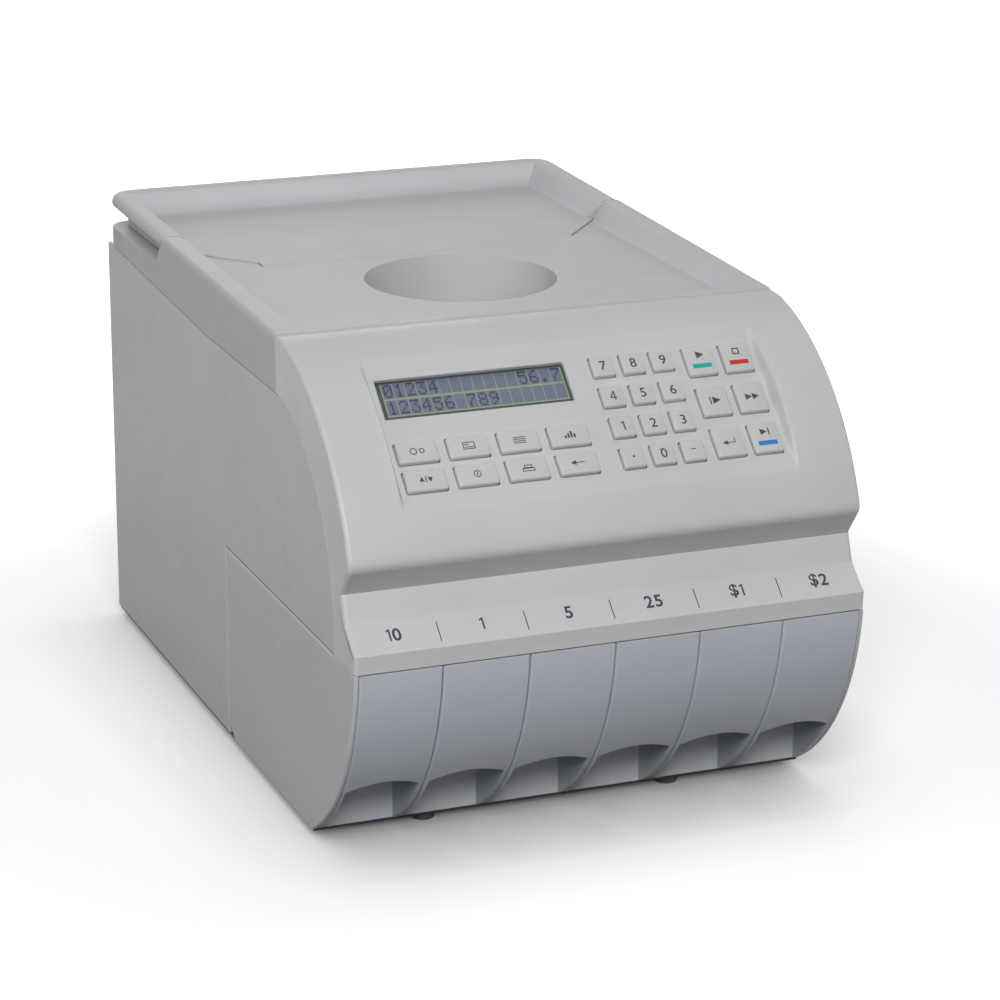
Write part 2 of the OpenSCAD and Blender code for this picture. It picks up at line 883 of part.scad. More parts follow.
module drawer_housing() {
    back = housing_y;
    color([0.63, 0.63, 0.65]) machine() difference() {
        union() {
            mirrored_x() across(half_w - sheet_t, half_w) intersection() {
                drum();
                translate([nose_y, 0]) square([back - nose_y, lower_h]);
            }
            box(-half_w + sheet_t, half_w - sheet_t, drawer_step_y, back, 0, housing_floor);
            box(-half_w + sheet_t, half_w - sheet_t, back - sheet_t, back, 0, lower_h);
            box(-half_w + sheet_t, half_w - sheet_t, plate_y0, back, lower_h - deck_t, lower_h);
            for (i = [1 : drawer_n - 1]) {
                x = -half_w + i * bay;
                box(x - partition_t / 2, x + partition_t / 2, drawer_step_y + partition_set, back,
                    0, lower_h - eps);
            }
        }
        for (x = bays) box(x - port_w / 2, x + port_w / 2, port_y0, port_y1,
            lower_h - deck_t - over, lower_h + over);
    }
}

// ---------- mechanism ----------

// opening in the plate's rear flange around a socket, from x0 to x1 and h either side of its middle
module flange_opening(x0, x1, h) {
    box(x0, x1, rear_flange_y - plate_t - over, rear_flange_y + over, socket_z - h, socket_z + h);
}

module mechanism_plate() {
    color([0.7, 0.71, 0.72]) machine() {
        difference() {
            union() {
                box(-plate_x, plate_x, plate_y0, rear_flange_y, plate_z, plate_top);
                box(-plate_x, plate_x, rear_flange_y - plate_t, rear_flange_y, 0, plate_top - eps);
            }
            for (x = bays) box(x - port_w / 2, x + port_w / 2, port_y0, port_y1,
                plate_z - over, plate_top + over);
            translate([0, motor_y, plate_z - over])
                cylinder(r = shaft_r + motor_hole, h = plate_t + 2 * over);
            flange_opening(inlet_x - inlet_w / 2 - socket_room,
                switch_x + switch_w / 2 + switch_rim + socket_room, switch_h / 2 + switch_rim + socket_room);
            for (px = port_xs) flange_opening(px - data_w / 2 - data_room, px + data_w / 2 + data_room,
                data_h / 2 + data_room);
        }
        for (p = posts) translate([p[0], p[1], plate_top])
            cylinder(r = post_r, h = head_z - plate_top, $fn = fn_small);
    }
}

module head_arm(p) {
    d = [p[0], p[1] - disc_y];
    translate([0, disc_y, 0]) rotate(atan2(d[1], d[0]))
        translate([0, -arm_w / 2]) square([norm(d) + post_r, arm_w]);
}

module sorting_head() {
    color([0.74, 0.75, 0.77]) machine() difference() {
        translate([0, 0, head_z]) linear_extrude(head_t) {
            translate([0, disc_y]) circle(disc_r, $fn = fn_front);
            for (i = [0, 1]) translate([posts[i][0] - post_r, posts[i][1] - post_r])
                square([2 * post_r, arm_len]);
            for (i = [2, 3]) head_arm(posts[i]);
        }
        translate([0, disc_y, head_z - over]) cylinder(r = funnel_low_r, h = head_t + 2 * over, $fn = fn_round);
        // guide grooves and exit notches in the underside
        for (r = [funnel_low_r + groove_in : groove_pitch : disc_r - groove_out])
            translate([0, disc_y, head_z - over]) rotate_extrude($fn = fn_round)
                translate([r, 0]) square([groove_w, groove_deep + over]);
        for (x = bays) intersection() {
            across(x - port_w / 2 + notch_side, x + port_w / 2 - notch_side)
                translate([0, head_z - over]) square([disc_y, notch_deep + over]);
            translate([0, disc_y, head_z - over]) difference() {
                cylinder(r = disc_r + over, h = head_t);
                translate([0, 0, -over]) cylinder(r = disc_r - notch_len, h = head_t + 2 * over);
            }
        }
    }
}

module sorting_disc() {
    color([0.75, 0.76, 0.78]) machine() translate([0, disc_y, disc_z]) difference() {
        cylinder(r = disc_r, h = disc_t, $fn = fn_front);
        translate([0, 0, -over]) cylinder(r = spindle_r, h = disc_t + 2 * over);
        for (a = [0 : sixth : 5 * sixth]) rotate(a) translate([disc_r * pocket_at, 0, -over])
            cylinder(r = pocket_r, h = pocket_deep + over);
    }
}

module disc_pad() {
    color([0.35, 0.33, 0.3]) machine() translate([0, disc_y, pad_z]) difference() {
        cylinder(r = disc_r - pad_in, h = pad_t, $fn = fn_front);
        translate([0, 0, -over]) cylinder(r = spindle_r + pad_hole, h = pad_t + 2 * over);
    }
}

// belt pulley with a rim at each end
module pulley_wheel(r) {
    cylinder(r = r, h = pulley_t, $fn = fn_round);
    for (z = [0, pulley_t - pulley_rim_t]) translate([0, 0, z])
        cylinder(r = r + pulley_rim, h = pulley_rim_t, $fn = fn_round);
}

module spindle_pulley() {
    color([0.66, 0.67, 0.7]) machine() translate([0, disc_y, 0]) {
        translate([0, 0, plate_top + spindle_foot])
            cylinder(r = spindle_r, h = pad_z - plate_top - spindle_foot);
        translate([0, 0, pad_z]) cylinder(r = spindle_r + nut_lap, h = nut_h, $fn = 6);
        translate([0, 0, pulley_z]) difference() {
            union() {
                pulley_wheel(pulley_r);
                cylinder(r = spindle_r + pulley_hub, h = pulley_t + pulley_hub_up);
            }
            translate([0, 0, -over]) cylinder(r = spindle_r, h = pulley_t + pulley_hub_up + 2 * over);
            for (a = [0 : sixth : 5 * sixth]) rotate(a) translate([pulley_r * pulley_hole_at, 0, -over])
                cylinder(r = pulley_r * pulley_hole_r, h = pulley_t + 2 * over);
        }
    }
}

module bearing(z) {
    difference() {
        translate([0, 0, z]) cylinder(r = bearing_r - bearing_seat, h = bearing_h);
        translate([0, 0, z - over]) cylinder(r = spindle_r + bearing_gap, h = bearing_h + 2 * over);
    }
}

module spindle_bearings() {
    color([0.55, 0.56, 0.58]) machine() translate([0, disc_y, plate_top]) {
        difference() {
            union() {
                cylinder(r = unit_flange_r, h = unit_flange_t);
                cylinder(r = unit_r, h = unit_h);
            }
            translate([0, 0, -over]) cylinder(r = spindle_r + unit_bore, h = unit_h + 2 * over);
            for (z = [-over, unit_h - bearing_h]) translate([0, 0, z])
                cylinder(r = bearing_r, h = bearing_h + over);
            for (a = [45 : 90 : 315]) rotate(a) translate([unit_r + unit_flange / 2, 0, -over])
                cylinder(r = unit_bolt_r, h = unit_flange_t + 2 * over);
        }
        bearing(0);
        bearing(unit_h - bearing_h);
    }
}

// outline of a belt around both pulleys, offset outwards by g
module belt_outline(g) {
    r1 = pulley_r + g;
    r2 = motor_pulley_r + g;
    a = asin((r1 - r2) / belt_span);
    translate([0, disc_y]) circle(r1, $fn = fn_round);
    translate([0, motor_y]) circle(r2, $fn = fn_round);
    polygon([
        [r1 * cos(a), disc_y + r1 * sin(a)], [r2 * cos(a), motor_y + r2 * sin(a)],
        [-r2 * cos(a), motor_y + r2 * sin(a)], [-r1 * cos(a), disc_y + r1 * sin(a)]
    ]);
}

module drive_belt() {
    color([0.12, 0.12, 0.12]) machine() translate([0, 0, pulley_z + belt_side])
        linear_extrude(belt_w) difference() {
            belt_outline(belt_gap + belt_t);
            belt_outline(belt_gap);
        }
}

module drive_motor() {
    color([0.2, 0.2, 0.22]) machine() translate([0, motor_y, plate_z]) difference() {
        union() {
            translate([0, 0, -motor_len]) cylinder(r = motor_r, h = motor_len - motor_face);
            box(-motor_r, motor_r, -motor_r, motor_r, -motor_face, 0);
            translate([0, 0, -motor_len - motor_end]) cylinder(r = motor_r * motor_end_r, h = motor_end + over);
        }
        translate([0, 0, -shaft_deep - over]) cylinder(r = shaft_r + bearing_gap, h = shaft_deep + 2 * over);
    }
}

module motor_pulley() {
    color([0.68, 0.69, 0.71]) machine() translate([0, motor_y, 0]) {
        translate([0, 0, plate_z - shaft_deep])
            cylinder(r = shaft_r, h = pulley_z + pulley_t - plate_z + shaft_deep);
        translate([0, 0, pulley_z]) difference() {
            pulley_wheel(motor_pulley_r);
            translate([0, 0, -over]) cylinder(r = shaft_r - eps, h = pulley_t + 2 * over);
        }
    }
}

// nearest place of the disc's edge to the front within a chute's width
function mouth_y(x) = disc_y - sqrt(pow(disc_r + chute_gap, 2) - pow(abs(x) - chute_w / 2, 2));

module chute(x) {
    y1 = mouth_y(x);
    low = disc_z - chute_lip;
    difference() {
        across(x - chute_w / 2, x + chute_w / 2) polygon([
            [port_y0 - chute_t, plate_top], [port_y0 - chute_t, chute_top], [y1, chute_top],
            [y1, low - 2 * chute_t], [port_y1 + chute_t, plate_top]
        ]);
        across(x - port_w / 2, x + port_w / 2) polygon([
            [port_y0, plate_top - over], [port_y0, chute_top + over], [y1 + over, chute_top + over],
            [y1 + over, low], [y1, low], [port_y1, plate_top + 2 * chute_t], [port_y1, plate_top - over]
        ]);
    }
}

module coin_chutes() {
    color([0.3, 0.31, 0.33]) machine() {
        for (x = bays) chute(x);
        // cross rail that ties the chutes together
        box(bays[0], bays[drawer_n - 1], port_y0 - 2 * chute_t, port_y0 - chute_t + eps,
            plate_top, plate_top + rail_h);
    }
}

// ---------- display and keys ----------

module display_window() {
    color([0.2, 0.3, 0.28, 0.5]) machine() on_panel()
        translate([window_at[0], window_at[1], -wall - window_t]) linear_extrude(window_t)
            square([window_w + 2 * window_lap, window_h + 2 * window_lap], center = true);
}

module display_module() {
    top = -wall - window_t - module_gap;
    deck = board_z + board_t;
    color([0.15, 0.4, 0.3]) machine() on_panel() translate([window_at[0], window_at[1], 0]) {
        translate([0, 0, board_z]) linear_extrude(board_t) square([module_w, module_h], center = true);
        translate([0, 0, deck]) linear_extrude(top - lens_drop - deck)
            square([window_w, window_h], center = true);
        translate([0, 0, deck]) linear_extrude(top - deck) difference() {
            square([window_w + 2 * module_frame, window_h + 2 * module_frame], center = true);
            square([window_w, window_h], center = true);
        }
    }
}

module keypad_board() {
    color([0.1, 0.35, 0.2]) machine() on_panel() {
        translate([0, 0, board_z - board_t]) linear_extrude(board_t) difference() {
            translate([-board_w / 2, -board_len]) square([board_w, board_len + board_head]);
            for (b = boss_at) translate(b) circle(boss_hole_r);
        }
        for (k = key_list) translate([k[1][0], k[1][1], board_z]) difference() {
            cylinder(r = dome_r, h = dome_top - board_z, $fn = fn_small);
            translate([0, 0, -over])
                cylinder(r = dome_r - dome_wall, h = dome_top - board_z + 2 * over, $fn = fn_small);
        }
    }
}

module key(k) {
    color([0.8, 0.8, 0.81]) machine() on_panel() translate([k[1][0], k[1][1], 0]) {
        translate([0, 0, key_root + flange_t / 2]) linear_extrude(key_h - key_root - flange_t / 2)
            round_rect(k[2], k[3], key_corner);
        translate([0, 0, key_root]) linear_extrude(flange_t)
            round_rect(k[2] + 2 * key_flange, k[3] + 2 * key_flange, key_corner);
        translate([0, 0, stem_low]) cylinder(r = stem_r, h = key_root - stem_low + eps, $fn = fn_small);
    }
}

// ---------- drawers ----------

// the coin space and the finger space share a wall that leans forward above the fingers
module drawer_cavity() {
    y0 = finger_y + drawer_t;
    intersection() {
        drum(drum_r - drawer_t);
        translate([y0 - finger_reach, 0]) square([front_box, 2 * lower_h]);
        polygon([
            [y0, drawer_z + drawer_t], [y0, finger_z + drawer_t],
            [y0 - finger_reach, finger_z + drawer_t + finger_reach * finger_slope],
            [y0 - finger_reach, 2 * lower_h],
            [drawer_d - drawer_t, 2 * lower_h], [drawer_d - drawer_t, drawer_z + drawer_t]
        ]);
    }
    translate([drum_y, drawer_z + drawer_t]) square([drawer_d - drawer_t - drum_y, lower_h]);
}

module finger_space() {
    front = finger_y - finger_reach;
    intersection() {
        drum(drum_r - drawer_t);
        polygon([
            [finger_y, -over], [finger_y, finger_z], [front, finger_z + finger_reach * finger_slope],
            [front, -over]
        ]);
    }
}

// arch in the lower edge of a drawer front, seen along Y
module finger_arch(w) {
    r = (w * w / 4 + arch_rise * arch_rise) / 2 / arch_rise;
    intersection() {
        translate([0, arch_z + arch_rise - r]) circle(r, $fn = fn_front);
        translate([-w / 2, -over]) square([w, drum_z]);
    }
}

module drawer_profile() {
    intersection() {
        drum();
        translate([nose_y, drawer_z]) square([drawer_step_y - nose_y, lower_h - seam - drawer_z]);
    }
}

module coin_drawer(i) {
    x0 = i == 0 ? -half_w + sheet_t + drawer_gap : -half_w + i * bay + front_gap / 2;
    x1 = i == drawer_n - 1 ? half_w - sheet_t - drawer_gap : -half_w + (i + 1) * bay - front_gap / 2;
    b0 = i == 0 ? x0 : -half_w + i * bay + partition_t / 2 + drawer_gap;
    b1 = i == drawer_n - 1 ? x1 : -half_w + (i + 1) * bay - partition_t / 2 - drawer_gap;
    xm = (b0 + b1) / 2;
    color([0.6, 0.62, 0.66]) machine() difference() {
        union() {
            difference() {
                across(x0, x1) drawer_profile();
                box(-half_w, half_w, plate_y0 - shelf_gap, body_d, box_top, lower_h + over);
            }
            box(b0, b1, drawer_step_y - over, drawer_d, housing_floor + drawer_gap, box_top);
        }
        across(b0 + drawer_t, b1 - drawer_t) drawer_cavity_cut();
        across(b0 + drawer_t, b1 - drawer_t) finger_space();
        translate([xm, finger_y, 0]) rotate([90, 0, 0])
            linear_extrude(over - nose_y) finger_arch(b1 - b0 - 2 * drawer_t);
    }
}

module drawer_cavity_cut() {
    intersection() {
        drawer_cavity();
        translate([nose_y, housing_floor + drawer_gap + drawer_t]) square([front_box, lower_h]);
    }
}

// ---------- electrics ----------

module control_board() {
    deck = circuit_z + board_t;
    color([0.1, 0.35, 0.2]) machine() {
        box(circuit_x0, circuit_x1, bench_y, bench_y + circuit_len, circuit_z, deck);
        for (x = [circuit_x0 + circuit_in, circuit_x1 - circuit_in],
            y = [bench_y + circuit_in, bench_y + circuit_len - circuit_in])
            translate([x, y, 0]) cylinder(r = post_r, h = circuit_z, $fn = fn_small);
        for (i = [0 : 2]) box(chip_x, chip_x + chip_w, chip_y + i * chip_dy, chip_y + i * chip_dy + chip_w,
            deck, deck + chip_h);
        box(block_x, block_x + block_w, block_y, block_y + block_len, deck, deck + block_h);
        for (i = [0 : 2]) translate([can_x, can_y + i * can_dy, deck])
            cylinder(r = can_r, h = can_h, $fn = fn_mid);
    }
}

module power_supply() {
    color([0.68, 0.69, 0.7]) machine() difference() {
        box(supply_x0, supply_x0 + supply_w, bench_y, bench_y + supply_len, 0, supply_h);
        box(supply_x0 + supply_t, supply_x0 + supply_w - supply_t, bench_y + supply_t,
            bench_y + supply_len - supply_t, supply_t, supply_h - supply_t);
        for (i = [0 : slot_n - 1]) box(supply_x0 + slot_side + i * slot_dx,
            supply_x0 + slot_side + i * slot_dx + slot_w, bench_y + slot_end, bench_y + slot_end + slot_len,
            supply_h - supply_t - over, supply_h + over);
    }
}

// places a socket's parts on the rear panel, z pointing into the machine
module at_socket(x) {
    translate([x, rear_y, socket_z]) rotate([90, 0, 0]) children();
}

// a plate of w by h from z0 to z1
module plate(w, h, z0, z1) {
    translate([0, 0, z0]) linear_extrude(z1 - z0) square([w, h], center = true);
}

module rear_connectors() {
    color([0.1, 0.1, 0.11]) machine() {
        // mains inlet with three blades
        at_socket(inlet_x) difference() {
            union() {
                plate(inlet_w, inlet_h, 0, inlet_d);
                plate(inlet_w + 2 * inlet_rim_x, inlet_h + 2 * inlet_rim_y, -inlet_rim_t, 0);
            }
            plate(inlet_w - 2 * inlet_wall_x, inlet_h - 2 * inlet_wall_y,
                -inlet_rim_t - over, inlet_d - inlet_floor);
        }
        at_socket(inlet_x) for (x = [-blade_dx, 0, blade_dx])
            translate([x, x == 0 ? blade_h / 2 : -blade_drop + blade_h / 2])
                plate(blade_w, blade_h, blade_in, blade_in + blade_len + eps);
        // switch frame
        at_socket(switch_x) difference() {
            union() {
                plate(switch_w + 2 * switch_rim, switch_h + 2 * switch_rim, 0, switch_d);
                plate(switch_w + 2 * switch_bezel, switch_h + 2 * switch_bezel, -bezel_t, 0);
            }
            plate(switch_w + 2 * switch_room, switch_h + 2 * switch_room,
                -bezel_t - over, switch_d - cup_floor);
        }
        // data ports
        for (px = port_xs) at_socket(px) difference() {
            union() {
                plate(data_w, data_h, 0, data_d);
                plate(data_w + 2 * data_rim_x, data_h + 2 * data_rim_y, -bezel_t, 0);
            }
            plate(data_w - 2 * data_wall_x, data_h - 2 * data_wall_y, -bezel_t - over, data_d - cup_floor);
        }
    }
}

// rocker that rests tilted by rocker_a and tips to the other side
module power_switch() {
    color([0.08, 0.08, 0.09]) machine() translate([switch_x, rear_y - rocker_in, socket_z])
        rotate([rocker_a, 0, 0]) intersection() {
            box(-switch_w / 2, switch_w / 2, -rocker_half, rocker_half, rocker_end - switch_h / 2,
                switch_h / 2 - rocker_end);
            rotate([0, 90, 0]) translate([0, 0, -switch_w / 2]) linear_extrude(switch_w) polygon([
                [-switch_h / 2, rocker_half], [0, rocker_dip], [switch_h / 2, rocker_half],
                [switch_h / 2, -rocker_side], [0, -rocker_half], [-switch_h / 2, -rocker_side]
            ]);
        }
}

module rubber_feet() {
    color([0.1, 0.1, 0.1]) machine() for (x = foot_xs, y = foot_ys) translate([x, y, -base_t - foot_h]) {
        cylinder(r1 = foot_r - foot_taper, r2 = foot_r, h = foot_h);
        translate([0, 0, foot_h]) cylinder(r = foot_pin_r, h = base_t);
    }
}

module case_screws() {
    color([0.7, 0.7, 0.72]) machine() for (s = screw_at) translate([s[0], rear_y, s[1]]) rotate([-90, 0, 0]) {
        difference() {
            cylinder(r = screw_head_r, h = screw_head_h, $fn = fn_mid);
            for (a = [0, 90]) rotate(a) plate(cross_l, cross_w, cross_z, screw_head_h + over);
        }
        translate([0, 0, -screw_len]) cylinder(r = screw_r, h = screw_len + eps, $fn = fn_small);
    }
}

front_fascia();
hopper_tray();
rear_pan();
pan_hinge_pins();
left_side_panel();
right_side_panel();
rear_panel();
base_plate();
drawer_housing();
mechanism_plate();
display_module();
display_window();
keypad_board();
sorting_head();
sorting_disc();
disc_pad();
spindle_pulley();
spindle_bearings();
drive_belt();
drive_motor();
motor_pulley();
coin_chutes();
control_board();
power_supply();
rear_connectors();
power_switch();
rubber_feet();
case_screws();
for (i = [0 : drawer_n - 1]) coin_drawer(i);
for (k = key_list) key(k);
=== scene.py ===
# %% [markdown]
# # A tabletop coin sorting machine
# Coins are tipped into the tray on top, fall through its throat onto a spinning
# disc, and drop by size into six drawers along the front. The construction comes
# in as a fixed frame. These cells dress it: rounded mouldings over the sharp
# solids, key caps with printed marks, a display, and a finish for every part.

# %% Load the frame
import math

import bmesh
import bpy
from mathutils import Matrix, Vector


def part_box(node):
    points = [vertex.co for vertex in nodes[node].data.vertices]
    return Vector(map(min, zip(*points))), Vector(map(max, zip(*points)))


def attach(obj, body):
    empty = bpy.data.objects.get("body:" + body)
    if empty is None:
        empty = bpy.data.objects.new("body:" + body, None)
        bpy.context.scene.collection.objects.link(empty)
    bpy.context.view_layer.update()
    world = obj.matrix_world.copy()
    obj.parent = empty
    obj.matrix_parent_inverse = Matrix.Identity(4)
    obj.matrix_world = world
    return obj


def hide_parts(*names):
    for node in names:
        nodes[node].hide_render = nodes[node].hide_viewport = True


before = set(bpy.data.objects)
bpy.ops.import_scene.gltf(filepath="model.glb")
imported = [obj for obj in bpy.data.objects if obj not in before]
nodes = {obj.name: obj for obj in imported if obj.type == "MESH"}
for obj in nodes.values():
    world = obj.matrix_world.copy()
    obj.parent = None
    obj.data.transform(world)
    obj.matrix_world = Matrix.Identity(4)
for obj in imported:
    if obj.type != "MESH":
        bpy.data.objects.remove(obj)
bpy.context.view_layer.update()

# %% [markdown]
# ## One working frame
# The drawing of this machine measures millimetres from the front foot line and
# from the bottom of the housing. Working in those numbers keeps every size
# readable. `at` turns them into metres in the frame, and its two offsets come
# from the nodes themselves, so nothing is placed by eye.

# %% Working frame and mesh helpers
MM = 0.001
BASE_INSET = 1.5
MERGE = 0.002
HALF_W = round(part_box("drawer_housing")[1].x / MM, 3)
origin = Vector((0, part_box("base_plate")[0].y - BASE_INSET * MM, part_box("drawer_housing")[0].z))
scene = bpy.context.scene


def at(x, y, z):
    return origin + Vector((x, y, z)) * MM


def drawn(place):
    """The other way round: a place in the frame as millimetres of the drawing."""
    return (place - origin) / MM


def rectangle(w, h, x=0.0, y=0.0):
    """The corners of a rectangle, anticlockwise, with its middle at x and y."""
    return [(x + sx * w / 2, y + sy * h / 2) for sx, sy in ((-1, -1), (1, -1), (1, 1), (-1, 1))]


def link(name, mesh, *materials):
    piece = bpy.data.objects.new(name, mesh)
    scene.collection.objects.link(piece)
    for m in materials:
        mesh.materials.append(m)
    return piece


def mesh_piece(name, points, faces, *materials, smooth=True, turn_out=False):
    """A piece at the origin, from points in the working frame. Its faces can be turned outwards."""
    mesh = bpy.data.meshes.new(name)
    mesh.from_pydata([at(*p) for p in points], [], faces)
    mesh.validate()
    bm = bmesh.new()
    bm.from_mesh(mesh)
    bmesh.ops.remove_doubles(bm, verts=bm.verts, dist=MERGE * MM)
    if turn_out:
        bmesh.ops.recalc_face_normals(bm, faces=bm.faces)
    bm.to_mesh(mesh)
    bm.free()
    mesh.shade_smooth() if smooth else mesh.shade_flat()
    return link(name, mesh, *materials)


def finished(piece):
    """Applies the piece's modifiers, so that its mesh holds what shows."""
    bpy.context.view_layer.update()
    made = bpy.data.meshes.new_from_object(piece.evaluated_get(bpy.context.evaluated_depsgraph_get()))
    made.name = piece.name
    piece.modifiers.clear()
    piece.data = made
    return piece


def crisp(piece, angle):
    """Smooth shading that keeps the edges sharper than the angle."""
    piece.data.shade_smooth()
    piece.data.set_sharp_from_angle(angle=math.radians(angle))
    return piece


def even_light(piece):
    """Lets a large face keep its own direction where it runs into a small round."""
    change = piece.modifiers.new("even light", "WEIGHTED_NORMAL")
    change.keep_sharp = True
    return finished(piece)


print("half width", HALF_W, "mm; housing starts", round(origin.z / MM, 2), "mm up")

# %% [markdown]
# ## Camera
# The machine is seen from the front left and a little above. A long lens keeps
# its edges nearly parallel. Yaw turns the view right of straight ahead, pitch
# tips it down and roll levels the picture, all in degrees.

# %% Camera
CAMERA_AT = (-642.6, -1527.0, 691.9)
YAW, PITCH, ROLL = 21.664, -17.796, 0.311
LENS, SENSOR = 123.28, 36.0
CLIP = 0.05, 50

yaw, pitch, roll = (math.radians(a) for a in (YAW, PITCH, ROLL))
forward = Vector((math.sin(yaw) * math.cos(pitch), math.cos(yaw) * math.cos(pitch), math.sin(pitch)))
level = Vector((math.cos(yaw), -math.sin(yaw), 0))
upright = level.cross(forward)
right = level * math.cos(roll) + upright * math.sin(roll)
up = upright * math.cos(roll) - level * math.sin(roll)
camera_data = bpy.data.cameras.new("camera")
camera_data.lens, camera_data.sensor_width = LENS, SENSOR
camera_data.clip_start, camera_data.clip_end = CLIP
camera = bpy.data.objects.new("camera", camera_data)
scene.collection.objects.link(camera)
turn = Matrix((right, up, -forward)).transposed().to_4x4()
camera.matrix_world = Matrix.Translation(at(*CAMERA_AT)) @ turn
scene.camera = camera
print("camera at", [round(v, 3) for v in camera.location])

# %% [markdown]
# ## Light and floor
# A product picture has a white sweep and broad soft lamps. The key hangs high in
# front on the left, and weaker lamps fill the sides, the top and the back. The
# floor shows white to the camera where nothing shades it, and keeps the shadow.
# Near the machine the floor also carries a painted shade from an ambient
# occlusion node, darker where the machine closes over it.

# %% Light, floor and world
WORLD_LEVEL, WORLD_COLOUR = 0.12, (0.88, 0.92, 1.0, 1)
WHITE = (1, 1, 1, 1)
LAMPS = {
    "key": ((-620, -1600, 1400), 0.9, 30.0),
    "front": ((-300, -1900, 850), 1.0, 1.0),
    "side": ((-1900, -200, 900), 1.3, 6.5),
    "top": ((800, 700, 2000), 1.2, 2.2),
    "back": ((300, 2100, 450), 1.2, 9.0),
    "right": ((1900, 300, 800), 1.3, 5.5),
}
AIM = (0, 160, 110)
FLOOR_SIZE = 12.0
FLOOR_SEEN, FLOOR_BOUNCE = 0.80, 0.10
FLOOR_LIFT = 0.45
FADE_START, FADE_END = 0.30, 0.62
# The reach in metres and the strength of the painted shade laid on the floor around the machine.
FLOOR_PAINTED_SHADE_REACH, FLOOR_PAINTED_SHADE_POWER = 0.08, 0.55


def add_lamp(name, place, size, watts):
    data = bpy.data.lights.new(name, "AREA")
    data.shape, data.size, data.energy = "DISK", size, watts
    lamp = bpy.data.objects.new(name, data)
    scene.collection.objects.link(lamp)
    spot = at(*place)
    aim = (at(*AIM) - spot).to_track_quat("-Z", "Y").to_matrix().to_4x4()
    lamp.matrix_world = Matrix.Translation(spot) @ aim


def node_tree(owner):
    owner.use_nodes = True
    owner.node_tree.nodes.clear()
    return owner.node_tree


def add(tree, kind, **values):
    """A node with its properties, and its sockets by name, set in one line."""
    made = tree.nodes.new(kind)
    for key, value in values.items():
        setattr(made, key, value)
    return made


def put(made, **values):
    """Sets a node's sockets by name to plain values."""
    for key, value in values.items():
        made.inputs[key.replace("_", " ")].default_value = value
    return made


def feed(tree, value, socket):
    """Links an output to a socket, or sets the socket to a plain value."""
    if isinstance(value, bpy.types.NodeSocket):
        tree.links.new(value, socket)
    else:
        socket.default_value = value


def maths(tree, operation, a, b):
    made = add(tree, "ShaderNodeMath", operation=operation)
    feed(tree, a, made.inputs[0])
    feed(tree, b, made.inputs[1])
    return made.outputs[0]


def backdrop(tree, output_kind, unseen, seen):
    """Shows one shader to the camera, in a gloss and through glass, and lights with another."""
    path = add(tree, "ShaderNodeLightPath")
    shows = path.outputs["Is Camera Ray"]
    for other in ("Is Glossy Ray", "Is Transmission Ray"):
        shows = maths(tree, "MAXIMUM", shows, path.outputs[other])
    pick, output = add(tree, "ShaderNodeMixShader"), add(tree, output_kind)
    feed(tree, shows, pick.inputs["Fac"])
    feed(tree, unseen, pick.inputs[1])
    feed(tree, seen, pick.inputs[2])
    feed(tree, pick.outputs["Shader"], output.inputs["Surface"])


for name, lamp in LAMPS.items():
    add_lamp(name, *lamp)

world = bpy.data.worlds.new("studio")
scene.world = world
tree = node_tree(world)
room = put(add(tree, "ShaderNodeBackground"), Color=WORLD_COLOUR, Strength=WORLD_LEVEL)
white = put(add(tree, "ShaderNodeBackground"), Color=WHITE, Strength=1.0)
backdrop(tree, "ShaderNodeOutputWorld", room.outputs["Background"], white.outputs["Background"])

floor_paint = bpy.data.materials.new("floor_paint")
tree = node_tree(floor_paint)
# Painted shade: ambient occlusion darkens both the floor's colour and its white lift near the machine, a
# contact shadow made in the material.
near = put(add(tree, "ShaderNodeAmbientOcclusion"), Distance=FLOOR_PAINTED_SHADE_REACH)
depth = maths(tree, "POWER", near.outputs["AO"], FLOOR_PAINTED_SHADE_POWER)
floor_under_painted_shade = add(tree, "ShaderNodeVectorMath", operation="SCALE")
floor_under_painted_shade.inputs[0].default_value = (FLOOR_SEEN,) * 3
feed(tree, depth, floor_under_painted_shade.inputs["Scale"])
base = add(tree, "ShaderNodeBsdfDiffuse")
feed(tree, floor_under_painted_shade.outputs["Vector"], base.inputs["Color"])
bounce = put(add(tree, "ShaderNodeBsdfDiffuse"), Color=(*(FLOOR_BOUNCE,) * 3, 1))
reach = add(tree, "ShaderNodeVectorMath", operation="LENGTH")
feed(tree, add(tree, "ShaderNodeTexCoord").outputs["Object"], reach.inputs[0])
fade = put(add(tree, "ShaderNodeMapRange", interpolation_type="SMOOTHSTEP"),
           From_Min=FADE_START, From_Max=FADE_END, To_Min=FLOOR_LIFT, To_Max=1.0)
feed(tree, reach.outputs["Value"], fade.inputs["Value"])
lift = put(add(tree, "ShaderNodeEmission"), Color=WHITE)
feed(tree, maths(tree, "MULTIPLY", fade.outputs["Result"], depth), lift.inputs["Strength"])
total = add(tree, "ShaderNodeAddShader")
feed(tree, base.outputs["BSDF"], total.inputs[0])
feed(tree, lift.outputs["Emission"], total.inputs[1])
backdrop(tree, "ShaderNodeOutputMaterial", bounce.outputs["BSDF"], total.outputs["Shader"])
floor_mesh = bpy.data.meshes.new("floor")
floor_mesh.from_pydata([(*p, 0) for p in rectangle(FLOOR_SIZE, FLOOR_SIZE)], [], [(0, 1, 2, 3)])
floor = link("floor", floor_mesh, floor_paint)
scene.view_settings.view_transform = "Standard"
print("lamps:", ", ".join(LAMPS), "- floor ready")

# %% [markdown]
# ## Finishes
# A moulded case is not one flat grey. It has a fine spark-eroded grain, slow
# changes of tone, and a soft polish where hands rub it. Those effects are
# wanted in many materials, so each one is a shader node group with named
# inputs, built once and placed in each material with its own values. The
# groups put out colours and values only, and the shader stays in the material.

